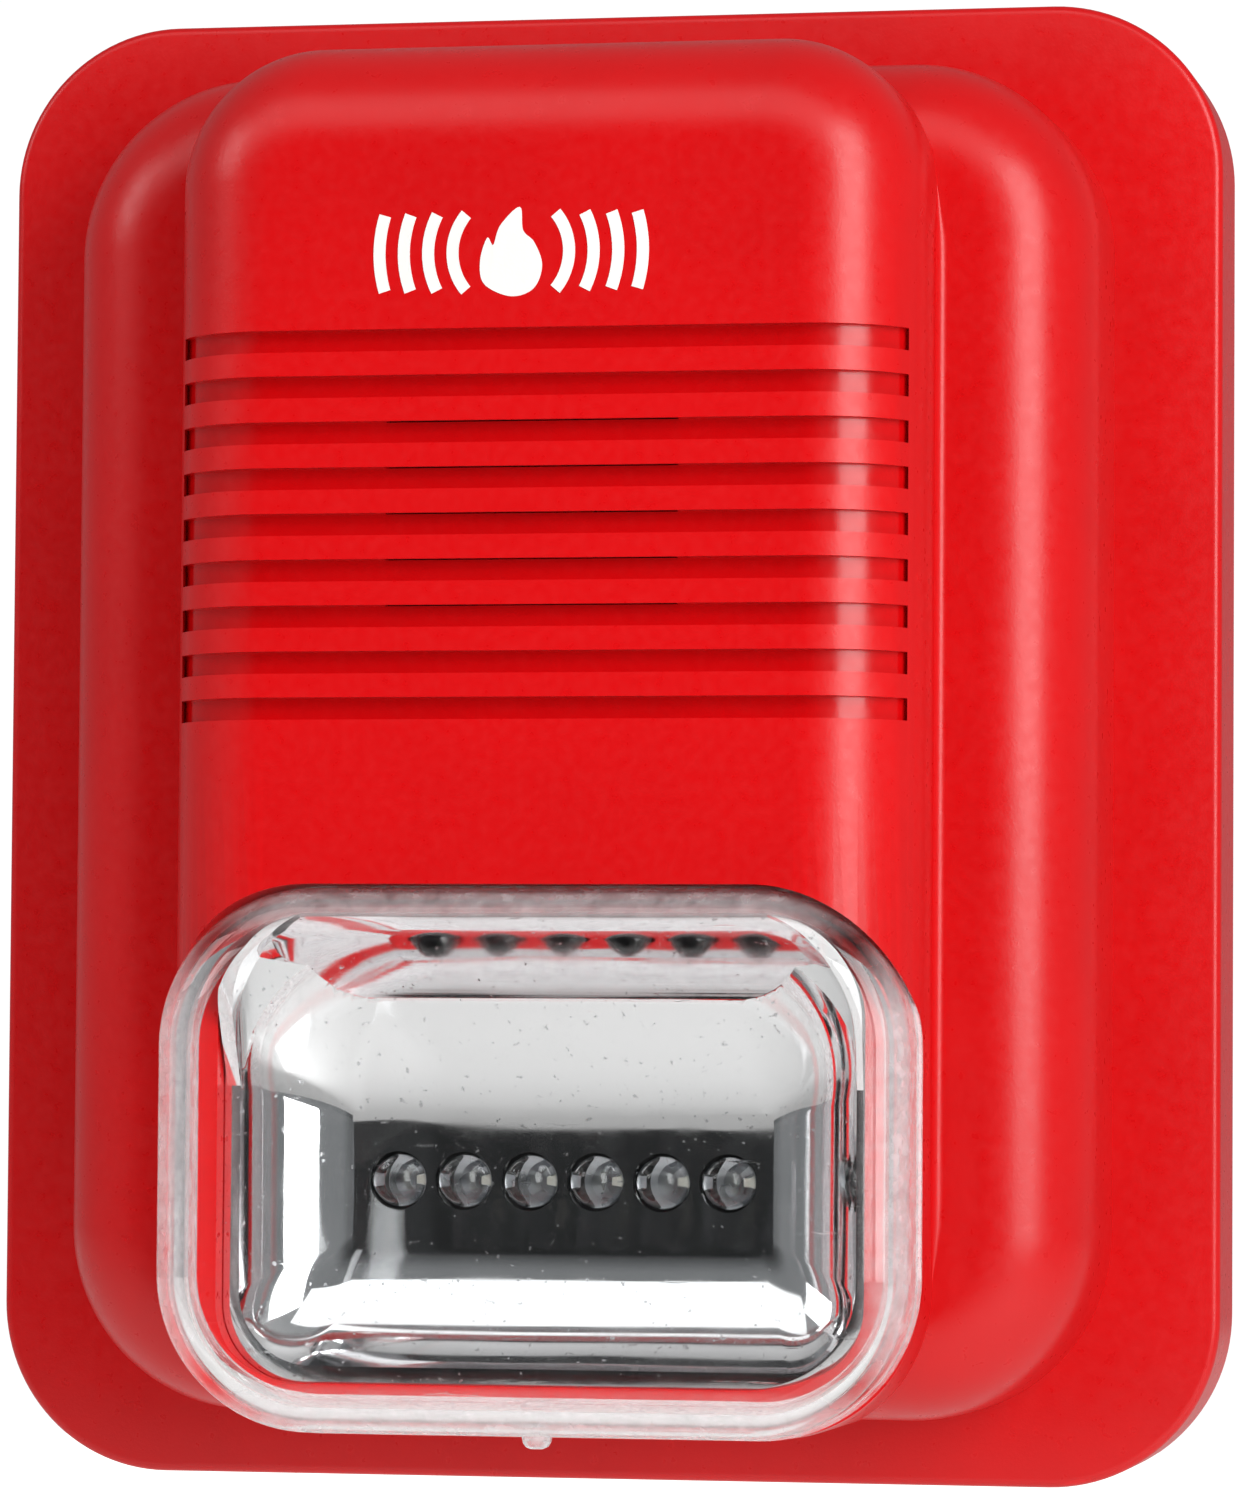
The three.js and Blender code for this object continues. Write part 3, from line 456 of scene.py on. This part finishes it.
RED = rgb(206, 6, 11)
red_plastic = moulded("red_plastic", RED, 0.31, 0.3, 1.15, 0.42)
polished_red = moulded("polished_red", RED, 0.2, 0.08, 1.1, 0.4)
materials = {
    "red_plastic": red_plastic,
    "clear_plastic": lens_with_painted_rim(),
    "chrome_plating": chrome_coating(),
    "led_epoxy": clear_plastic("led_epoxy", (0.96, 0.97, 0.97, 1.0), 0.01, 1.53, False),
    "black_board": circuit_board("black_board", rgb(24, 22, 23), rgb(36, 33, 34)),
    "green_board": circuit_board("green_board", rgb(22, 82, 48), rgb(34, 108, 62)),
    "black_plastic": moulded("black_plastic", rgb(26, 26, 28), 0.5, 0.4, 1.5),
    "foam": moulded("foam", rgb(38, 38, 40), 0.95, 1.0, 1.2, 0.1),
    "brass": metal("brass", rgb(206, 168, 84)),
    "ceramic": moulded("ceramic", rgb(226, 222, 210), 0.5, 0.3, 1.02),
    "steel": metal("steel", rgb(188, 190, 194)),
    "plate_plastic": moulded("plate_plastic", rgb(214, 211, 202), 0.5, 0.4, 1.06),
    "terminal_green": moulded("terminal_green", rgb(38, 132, 74), 0.45, 0.3, 1.2),
    "switch_blue": moulded("switch_blue", rgb(34, 74, 164), 0.45, 0.3, 1.2),
    "white_plastic": moulded("white_plastic", rgb(240, 240, 236), 0.4, 0.3, 1.03),
    "can_sleeve": moulded("can_sleeve", rgb(34, 40, 60), 0.35, 0.1, 1.3),
    "ferrite": moulded("ferrite", rgb(52, 52, 55), 0.7, 0.6, 1.3),
    "resistor_tan": moulded("resistor_tan", rgb(198, 168, 118), 0.4, 0.2, 1.1),
    "red_lead": moulded("red_lead", rgb(176, 22, 26), 0.4, 0.15, 1.1),
    "black_lead": moulded("black_lead", rgb(28, 28, 29), 0.4, 0.15, 1.3),
    "nylon": moulded("nylon", rgb(224, 222, 212), 0.45, 0.2, 1.03),
}
slot_of = {entry["node"]: entry["material_slot"] for entry in frame["record"]["subparts"]}


def dress(obj, slot, body=FRONT, replaces=()):
    """Gives a new piece its material, its body and the CAD nodes that it stands for."""
    obj.data.materials.clear()
    obj.data.materials.append(materials[slot])
    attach(obj, body)
    if replaces:
        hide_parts(*replaces)
    return obj


def dress_cad_nodes():
    for name, obj in frame["nodes"].items():
        obj.data.materials.clear()
        obj.data.materials.append(materials[slot_of[name]])


# ------------------------------------------------------------------ front cover


def tray_profile(steps=10):
    """Up the side of the flange, round its edge, then a slow rise towards the shoulders."""
    edge, crown, rise = TRAY["edge"], TRAY["crown"], TRAY["rise"]
    profile = edge_profile(-14.0, TRAY["front"] - crown, edge, steps=8)
    for i in range(1, steps + 1):
        along = i / steps
        profile.append((TRAY["front"] - crown * (1 - along) ** 2, edge + rise * along))
    return profile


def cover_steps():
    """The flange tray, shoulders and column as one solid, with a fine fillet along the column."""
    tray = skin("cover", rounded_rings(TRAY, tray_profile(), 28))
    shoulder = slab("shoulder", SHOULDER, -12.0, SHOULDER["front"], SHOULDER["edge"], SHOULDER["draft"],
                    TRAY["front"], steps=28)
    column = slab("column", COLUMN, -10.0, COLUMN["front"], COLUMN["edge"], steps=28)
    return join(tray, shoulder, column, fillet(-1), fillet(1))


def fillet(side, count=40, steps=8):
    """A concave strip where a side of the column meets the shoulder, fading out towards its ends."""
    x, depth, buried = COLUMN["half_x"], SHOULDER["front"], FILLET["buried"]
    rings = []
    for i in range(count + 1):
        along = -1 + 2 * i / count
        r = FILLET["radius"] * min(1.0, (1 - abs(along)) * FILLET["fade"] + FILLET["least"])
        section = [(x - buried, depth - buried), (x + r, depth - buried)]
        for k in range(steps + 1):
            turn = k / steps * math.pi / 2
            section.append((x + r - r * math.sin(turn), depth + r - r * math.cos(turn)))
        section.append((x - buried, depth + r))
        rings.append([at(side * px, d, along * FILLET["half_long"]) for px, d in section])
    return skin(f"fillet_{side}", rings)


def cover_hollow():
    """The rooms inside the cover; each starts at its own depth, so that no two faces coincide."""
    above_lens = dict(COLUMN, bottom=LENS["top"] + 0.2)
    return [
        slab("tray_room", TRAY, -30.0, TRAY["front"] - WALL, inset=WALL),
        slab("shoulder_room", SHOULDER, -32.0, SHOULDER["front"] - WALL, SHOULDER["edge"] - WALL, inset=WALL),
        slab("column_room", above_lens, -34.0, COLUMN["front"] - WALL, COLUMN["edge"] - WALL, inset=WALL),
        slab("platform_room", COLUMN, -36.0, PLATFORM - WALL, inset=WALL),
    ]


def horn_grooves():
    """Nine channels whose floors follow the column's rounded front at a constant depth."""
    bm = bmesh.new()
    half, inside, outside = GROOVE["half_x"], 35.0, 60.0
    for row in range(GROOVE["count"]):
        top = GROOVE["top"] - row * GROOVE["pitch"]
        ring = [(-half, top - GROOVE["height"]), (half, top - GROOVE["height"]), (half, top), (-half, top)]
        low = [bm.verts.new(at(x, inside, z)) for x, z in ring]
        high = [bm.verts.new(at(x, outside, z)) for x, z in ring]
        for i in range(4):
            bm.faces.new((low[i], low[(i + 1) % 4], high[(i + 1) % 4], high[i]))
        bm.faces.new(low)
        bm.faces.new(high)
    rows = from_bmesh("grooves", bm)
    deep = GROOVE["deep"]
    floor = slab("groove_floor", COLUMN, -10.0, COLUMN["front"] - deep, COLUMN["edge"], steps=28)
    return cut(rows, floor)


def louvres():
    """Sound outlets hidden behind the ribs, each open into the top wall of one groove."""
    made = []
    for row in range(LOUVRE["first"], LOUVRE["last"] + 1):
        z = GROOVE["top"] - row * GROOVE["pitch"]
        made.append(box(f"louvre_{row}", -LOUVRE["half_x"], LOUVRE["half_x"], LOUVRE["back"], LOUVRE["front"],
                        z - 0.05, z + LOUVRE["height"]))
    return made


def lens_recess():
    """The seat of the lens, open at the front and below."""
    room = 0.25
    outline = dict(LENS, half_x=LENS["half_x"] + room, top=LENS["top"] + room, corner=LENS["corner"] + room,
                   bottom=LENS["bottom"] - 12)
    return [slab("recess", outline, PLATFORM, 60.0, steps=28),
            box("recess_below", -45, 45, PLATFORM, 61.0, -90, LENS["top"] - LENS["corner"])]


def reflector_opening():
    """The hole in the platform, around the bowl's rim and the hood that comes through it."""
    room = 0.3
    ledge = CHEEK["half_x"] + room - MOUTH["half_x"]
    outline = rounded_points(CHEEK["half_x"] + room, MOUTH["bottom"] - ledge, CHEEK["top"] + room,
                             CHEEK["corner"] + room, 24, MOUTH["low_corner"] + ledge)
    return skin("opening", [[at(x, depth, z) for x, z in outline] for depth in (30.0, 45.0)])


def cover_bosses():
    made = [post("lock_boss", LOCK["boss"], LOCK["low"], LOCK["high"], LOCK["depth"])]
    for side in SIDES:
        for end in SIDES:
            made.append(rod(f"boss_{side}_{end}", BOARD_SCREW["boss"], BOARD_FRONT + 0.3,
                            SHOULDER["front"] - BOSS_BURIED, side * BOARD_SCREW["x"], end * BOARD_SCREW["z"]))
        made.append(rod(f"ear_boss_{side}", SOUNDER_EAR["boss"], SOUNDER_EAR["back"],
                        COLUMN["front"] - BOSS_BURIED, side * SOUNDER_EAR["x"], SOUNDER_EAR["z"]))
        x, half_long, depth = side * HINGE["x"], HINGE["half_long"], HINGE["depth"]
        made.append(bar(f"bead_{side}", HINGE["bead"], x - half_long, x + half_long, depth, HINGE["z"]))
        made.append(box(f"web_{side}", x - half_long + 0.01, x + half_long - 0.01, depth - HINGE["web"],
                        depth + HINGE["web"], HINGE["z"], TRAY["top"] - 1.6))
    return made


def cover_holes():
    made = [post("lock_counterbore", LOCK["head"], -75.0, LOCK["seat"], LOCK["depth"]),
            post("lock_bore", LOCK["thread"], -76.0, -60.0, LOCK["depth"])]
    for side in SIDES:
        for end in SIDES:
            made.append(rod(f"hole_{side}_{end}", BOARD_SCREW["hole"], 10.0, BOARD_SCREW["deep"],
                            side * BOARD_SCREW["x"], end * BOARD_SCREW["z"]))
        made.append(rod(f"ear_hole_{side}", SOUNDER_EAR["hole"], SOUNDER_EAR["back"] - 1, SOUNDER_EAR["deep"],
                        side * SOUNDER_EAR["x"], SOUNDER_EAR["z"]))
        made.append(rod(f"platform_hole_{side}", REFLECTOR_SCREW["hole"], 36.0, PLATFORM - 0.8,
                        side * REFLECTOR_SCREW["x"], REFLECTOR_SCREW["z"]))
    return made


def swing_bevel():
    """What is taken off the top rear edge so that the cover clears the wall as it swings."""
    slope = math.tan(math.radians(HINGE["swing"]))
    inner, start = TRAY["top"] - WALL, HINGE["start"]
    section = [(inner - 3, start - 3 * slope), (inner + 6, start + 6 * slope), (inner + 6, -18.0),
               (inner - 3, -18.0)]
    return across("swing_bevel", section, 80.0)


def front_cover():
    cover = cover_steps()
    cut(cover, *cover_hollow())
    join(cover, *cover_bosses())
    trim = box("trim", -80, 80, -50, REAR_EDGE, -90, 90)
    cut(cover, trim, swing_bevel(), *lens_recess(), reflector_opening(), *cover_holes())
    cut(cover, horn_grooves(), *louvres())
    cover.name = "front_cover_shell"
    smooth(cover, 24.0)
    dress(cover, "red_plastic", FRONT, ("front_cover",))
    polish_groove_floors(cover)


def polish_groove_floors(cover):
    """The floors of the grooves are smoother than the grained faces around them."""
    cover.data.materials.append(polished_red)
    for face in cover.data.polygons:
        x, depth, z = face.center.x / MM, -face.center.y / MM, face.center.z / MM
        row = (GROOVE["top"] - z) / GROOVE["pitch"]
        in_row = 0 <= row < GROOVE["count"] and (row % 1) * GROOVE["pitch"] < GROOVE["height"]
        if in_row and abs(x) < GROOVE["half_x"] and abs(depth - groove_floor_depth(x)) < 0.3:
            face.material_index = 1


def groove_floor_depth(x):
    """The depth of a groove's floor at x."""
    edge, front = COLUMN["edge"], COLUMN["front"] - GROOVE["deep"]
    over = max(0.0, abs(x) - (COLUMN["half_x"] - edge))
    return front - edge + math.sqrt(edge ** 2 - over ** 2)


# ------------------------------------------------------------------ lens and reflector


def lens():
    lip = LENS["lip"]
    outer_profile = [(PLATFORM + LENS["seat"], -lip), (PLATFORM + 1.0, -lip), (PLATFORM + 1.1, 0.0)]
    outer_profile += edge_profile(PLATFORM + 1.2, LENS["front"], LENS["edge"], 1.0, steps=16)[1:]
    outer = skin("lens_shell", rounded_rings(LENS, outer_profile, 24))
    wall = LENS["wall"]
    inner_shape = dict(LENS, half_x=LENS["half_x"] - wall, bottom=LENS["bottom"] + wall,
                       top=LENS["top"] - wall, corner=LENS["corner"] - wall)
    inner_profile = edge_profile(PLATFORM - 8.0, LENS["front"] - wall, LENS["edge"] - wall + 0.8, 1.0,
                                 PLATFORM, steps=12)
    cut(outer, skin("lens_room", rounded_rings(inner_shape, inner_profile, 24)))
    smooth(outer, 35.0)
    return dress(outer, "clear_plastic", FRONT, ("lens",))


def lens_nib():
    """The stub left by the moulding gate under the lens."""
    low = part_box("lens")[0].z / MM
    top = LENS["bottom"] + 0.05
    rings = []
    for along, half in GATE_NIB["steps"]:
        z = top + (low - top) * along
        outline = rounded_points(half, -half * 0.9, half * 0.9, half * 0.5, 6)
        rings.append([at(x, GATE_NIB["depth"] + d, z) for x, d in outline])
    nib = skin("lens_gate_nib", rings)
    smooth(nib, 40.0)
    return dress(nib, "clear_plastic")


def bowl_ring(turn, grow, steps=20):
    """The bowl's outline and depth at one angle of its wall, which curves up from the strip of LEDs."""
    start, end = math.radians(SPREAD["start"]), math.radians(SPREAD["end"])
    out = (math.sin(turn) - math.sin(start)) / (math.sin(end) - math.sin(start))
    up = (math.cos(start) - math.cos(turn)) / (math.cos(start) - math.cos(end))
    low = DISH["floor"] + DISH["sag"] - grow
    depth = low + (DISH["rim"] - low) * up
    outline = rounded_points(DISH["half_x"] + SPREAD["side"] * out + grow,
                             DISH["bottom"] - SPREAD["bottom"] * out - grow,
                             DISH["top"] + SPREAD["top"] * out + grow,
                             DISH["corner"] + SPREAD["high_corner"] * out + grow, steps,
                             DISH["corner"] + SPREAD["low_corner"] * out + grow)
    return [at(x, depth, z) for x, z in outline]


def bowl_rings(grow, steps=18):
    """Rings of the reflector's bowl from its floor strip out to the rim."""
    start, end = SPREAD["start"], SPREAD["end"]
    return [bowl_ring(math.radians(start + (end - start) * i / steps), grow) for i in range(steps + 1)]


def strip_trough(steps=16):
    """What is taken out below the bowl so that the strip of LEDs is a shallow trough."""
    middle, half = (DISH["top"] + DISH["bottom"]) / 2, (DISH["top"] - DISH["bottom"]) / 2
    above = DISH["floor"] + DISH["sag"] + 1.0
    section = [(middle + half, above), (middle - half, above)]
    for i in range(steps + 1):
        along = -1 + 2 * i / steps
        section.append((middle + along * half, DISH["floor"] + DISH["sag"] * along ** 2))
    return across("strip_trough", section, DISH["half_x"])


def hood_face(steps=28):
    """The hood's mirrored face as (height, depth), steepening from its crease with the bowl to its top."""
    points = [(HOOD["crease"], HOOD["depth"])]
    step = (HOOD["top"] - HOOD["crease"]) / steps
    for _ in range(steps):
        z, depth = points[-1]
        slope = HOOD["slope"] + HOOD["curl"] * (z + step / 2 - HOOD["crease"])
        points.append((z + step, depth + step * math.tan(math.radians(slope))))
    return points


def mirror_room():
    """The open space in front of the mirrored faces: the bowl, its mouth and the room below the hood."""
    rings = bowl_rings(0.0, 26)
    for depth in (DISH["rim"] + 1.0, 60.0):
        outline = rounded_points(MOUTH["half_x"], MOUTH["bottom"], MOUTH["top"], MOUTH["high_corner"], 20,
                                 MOUTH["low_corner"])
        rings.append([at(x, depth, z) for x, z in outline])
    above, far, back = 5.0, 75.0, 10.0
    behind = [*hood_face(), (above, far), (above, back), (HOOD["crease"], back)]
    return cut(skin("mirror_room", rings), across("behind_hood", behind, 50.0))


def hood():
    """The hood with the cheeks that join its ends to the rim, hollow behind."""
    back = DISH["rim"] - FLANGE["thick"]
    section = [(CHEEK["bottom"], back), (CHEEK["bottom"], DISH["rim"]), (CHEEK["top"], CHEEK["front"]),
               (CHEEK["top"], back)]
    block = across("hood", section, CHEEK["half_x"])
    outline = dict(CHEEK, bottom=CHEEK["bottom"] - 20)
    return boolean(block, [slab("hood_outline", outline, 30.0, 50.0)], "INTERSECT")


def hood_back_room():
    raised = [(z + HOOD_ROOM["lift"], d) for z, d in hood_face() if z + HOOD_ROOM["lift"] < HOOD_ROOM["top"]]
    section = [*raised, (HOOD_ROOM["top"], HOOD_ROOM["back"]), (raised[0][0], HOOD_ROOM["back"])]
    return across("hood_back_room", section, HOOD_ROOM["half_x"])


def reflector():
    body = slab("reflector_shell", FLANGE, DISH["rim"] - FLANGE["thick"], DISH["rim"], steps=16)
    outer = skin("bowl_outer", bowl_rings(DISH["wall"]))
    studs, holes = [], []
    for side in SIDES:
        x = side * STUD["x"]
        studs.append(rod(f"stud_{side}", STUD["radius"], LED_BOARD_FRONT + 0.3, STUD["front"], x, LED["z"]))
        holes.append(rod(f"stud_hole_{side}", STUD["hole"], LED_BOARD_FRONT, STUD["deep"], x, LED["z"]))
        holes.append(rod(f"screw_hole_{side}", REFLECTOR_SCREW["hole"], 30.0, 40.0,
                         side * REFLECTOR_SCREW["x"], REFLECTOR_SCREW["z"]))
    for n in range(LED["count"]):
        x = (n - (LED["count"] - 1) / 2) * LED["pitch"]
        holes.append(rod(f"led_hole_{n}", LED["hole"], LED_BOARD_FRONT, 36.0, x, LED["z"]))
    join(body, outer, hood())
    cut(body, hood_back_room())
    join(body, *studs)
    cut(body, mirror_room(), strip_trough(), *holes)
    smooth(body, 22.0)
    return dress(body, "chrome_plating", FRONT, ("reflector",))


# ------------------------------------------------------------------ LEDs


def leds():
    """Each clear epoxy body with its cup, die and the two legs of its lead frame inside."""
    radius, collar, collar_high = LED["radius"], LED["collar"], LED["collar_high"]
    for n in range(1, LED["count"] + 1):
        low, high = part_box(f"led_{n}")
        x, z = (low.x + high.x) / 2 / MM, (low.z + high.z) / 2 / MM
        back, tip = -high.y / MM, -low.y / MM
        profile = [(0, back), (collar, back), (collar, back + collar_high), (radius, back + collar_high)]
        dome = tip - radius
        profile += [(radius * math.cos(t), dome + radius * math.sin(t))
                    for t in (i / 12 * math.pi / 2 for i in range(12))]
        profile.append((0, tip))
        body = turned(f"led_body_{n}", profile, x, z)
        smooth(body, 40.0)
        dress(body, "led_epoxy", FRONT, (f"led_{n}",))
        cup = turned(f"led_cup_{n}", [(r, back + depth) for r, depth in LED_CUP], x + 0.35, z, 28)
        smooth(cup, 40.0)
        dress(cup, "steel")
        die = box(f"led_die_{n}", x + 0.2, x + 0.5, back + 4.11, back + 4.25, z - 0.15, z + 0.15)
        smooth(die)
        dress(die, "ceramic")
        leg = box(f"led_leg_{n}", x - 1.35, x - 0.95, back + 0.3, back + 4.9, z - 0.25, z + 0.25)
        smooth(leg)
        dress(leg, "steel")


# ------------------------------------------------------------------ marking


def ink(name, outline):
    """A thin raised print on the front face from an outline of (x, z) pairs."""
    depths = (COLUMN["front"] - INK_SUNK, COLUMN["front"] + INK_RAISED)
    mark = skin(name, [[at(x, depth, z) for x, z in outline] for depth in depths])
    return dress(mark, "white_plastic")


def marking():
    """A generic sign: a flame between two sets of sound waves."""
    cx, cz, half_width = SIGN["x"], SIGN["z"], SIGN["width"] / 2
    for side, name in zip(SIDES, ("left", "right")):
        for ring in range(SIGN["waves"]):
            radius = SIGN["first"] + ring * SIGN["step"]
            half = math.asin(min(0.9, SIGN["rise"] / radius))
            turns = [half * (2 * i / 24 - 1) for i in range(25)]
            outer = [(radius + half_width, t) for t in turns]
            inner = [(radius - half_width, t) for t in reversed(turns)]
            ink(f"sign_wave_{name}_{ring + 1}",
                [(cx + side * r * math.cos(t), cz + r * math.sin(t)) for r, t in outer + inner])
    ink("sign_flame", flame_outline(cx, cz, SIGN["flame"]))


def flame_outline(cx, cz, high):
    """A flame with a round base, a leaning tip and one side tongue."""
    knots = [(0.0, -0.5), (0.26, -0.42), (0.36, -0.16), (0.27, 0.1), (0.14, 0.24), (0.1, 0.5), (-0.12, 0.3),
             (-0.2, 0.08), (-0.27, 0.16), (-0.35, -0.1), (-0.3, -0.36)]
    count, fine = len(knots), 8
    points = []
    for i in range(count):
        a, b, c, d = (Vector(knots[(i + k - 1) % count]) for k in range(4))
        for s in range(fine):
            t = s / fine
            p = 0.5 * (2 * b + (c - a) * t + (2 * a - 5 * b + 4 * c - d) * t ** 2
                       + (3 * b - a - 3 * c + d) * t ** 3)
            points.append((cx + p.x * high, cz + p.y * high))
    return points


# ------------------------------------------------------------------ studio


DARK_FRONT, DARK_FROM, DARK_FULL = (-0.2, -0.98, 0.02), 0.86, 0.97  # its direction, and cosines from it
SURROUND, FRONT_DARK, SEEN_WHITE = 0.24, 0.02, 1.05
FLOOR_GLOW, FLOOR_SEEN = 0.3, 1.2
FLOOR = dict(half_x=4, near=-1.5, far=4, under=-0.31, top=-0.3)  # metres
AIM = (0.0, -0.02, 0.0)
SOFTBOXES = (  # name, place in metres, width, height, power in watts
    ("top_softbox", (-0.1, -0.55, 0.56), 0.95, 0.4, 1.65),
    ("right_softbox", (0.54, -0.54, 0.22), 0.38, 0.62, 5.1),
    ("left_softbox", (-0.75, -0.4, 0.4), 0.35, 0.35, 1.3),
)
VIEW = dict(yaw=11.31, pitch=-2.84, roll=0.40, distance=0.6578, target=(-0.00065, 0.0, 0.0), lens=156.55)


def world_light():
    """A white surround to the eye; as a light it is even and pale, with a dark patch in front."""
    world = bpy.data.worlds.new("studio")
    bpy.context.scene.world = world
    world.use_nodes = True
    tree = world.node_tree
    tree.nodes.clear()
    add, link = tree.nodes.new, tree.links.new
    seen, lit = add("ShaderNodeBackground"), add("ShaderNodeBackground")
    seen.inputs["Color"].default_value = (1.0, 1.0, 1.0, 1.0)
    seen.inputs["Strength"].default_value = SEEN_WHITE
    lit.inputs["Color"].default_value = (0.96, 0.98, 1.0, 1.0)
    where = add("ShaderNodeTexCoord")
    facing = add("ShaderNodeVectorMath")
    facing.operation = "DOT_PRODUCT"
    facing.inputs[1].default_value = DARK_FRONT
    ramp = add("ShaderNodeMapRange")
    ramp.interpolation_type = "SMOOTHSTEP"
    limits = {"From Min": DARK_FROM, "From Max": DARK_FULL, "To Min": SURROUND, "To Max": FRONT_DARK}
    for key, value in limits.items():
        ramp.inputs[key].default_value = value
    link(where.outputs["Generated"], facing.inputs[0])
    link(facing.outputs["Value"], ramp.inputs["Value"])
    link(ramp.outputs["Result"], lit.inputs["Strength"])
    path, mix, out = add("ShaderNodeLightPath"), add("ShaderNodeMixShader"), add("ShaderNodeOutputWorld")
    link(path.outputs["Is Camera Ray"], mix.inputs[0])
    link(lit.outputs[0], mix.inputs[1])
    link(seen.outputs[0], mix.inputs[2])
    link(mix.outputs[0], out.inputs["Surface"])


def floor_paint():
    """Pale paint, kept white to the eye and bright enough to light the object from below."""
    n = Nodes("floor_paint")
    n.set(Base_Color=n.blend(n.noise(3.0), (0.88, 0.87, 0.86, 1.0), (0.91, 0.9, 0.89, 1.0)), Roughness=0.8)
    path = n.add("ShaderNodeLightPath")
    glow = n.spread(path.outputs["Is Camera Ray"], FLOOR_GLOW, FLOOR_SEEN)
    n.set(Emission_Color=(1.0, 0.96, 0.93, 1.0), Emission_Strength=glow)
    return n.material


def softbox(name, place, width, height, power):
    """A flat lamp aimed at the object."""
    data = bpy.data.lights.new(name, "AREA")
    data.shape = "RECTANGLE"
    data.size, data.size_y = width, height
    data.energy = power
    lamp = bpy.data.objects.new(name, data)
    bpy.context.scene.collection.objects.link(lamp)
    aim = Vector(AIM) - Vector(place)
    lamp.matrix_world = Matrix.Translation(place) @ aim.to_track_quat("-Z", "Y").to_matrix().to_4x4()


def studio():
    """The surround, the floor below the object and the three softboxes."""
    world_light()
    left, right, near, far = -FLOOR["half_x"], FLOOR["half_x"], FLOOR["near"], FLOOR["far"]
    corners = ((left, near), (right, near), (right, far), (left, far))
    floor = skin("floor", [[Vector((x, y, z)) for x, y in corners] for z in (FLOOR["under"], FLOOR["top"])])
    floor.data.materials.append(floor_paint())
    for entry in SOFTBOXES:
        softbox(*entry)


def camera():
    """The photograph's view: a long lens a little to the right of the object and below its centre."""
    yaw, pitch, roll = (math.radians(VIEW[key]) for key in ("yaw", "pitch", "roll"))
    back = Vector((math.sin(yaw) * math.cos(pitch), -math.cos(yaw) * math.cos(pitch), math.sin(pitch)))
    right = (-back).cross(Vector((0, 0, 1))).normalized()
    up = right.cross(-back)
    side = right * math.cos(roll) + up * math.sin(roll)
    above = up * math.cos(roll) - right * math.sin(roll)
    data = bpy.data.cameras.new("camera")
    data.sensor_width = 36.0
    data.lens = VIEW["lens"]
    data.clip_start = 0.01
    made = bpy.data.objects.new("camera", data)
    bpy.context.scene.collection.objects.link(made)
    turn = Matrix((side, above, back)).transposed().to_4x4()
    made.matrix_world = Matrix.Translation(Vector(VIEW["target"]) + back * VIEW["distance"]) @ turn
    bpy.context.scene.camera = made


# ------------------------------------------------------------------ the scene

dress_cad_nodes()
front_cover()
lens()
lens_nib()
reflector()
leds()
marking()
studio()
camera()
bpy.context.scene.view_settings.view_transform = "Standard"
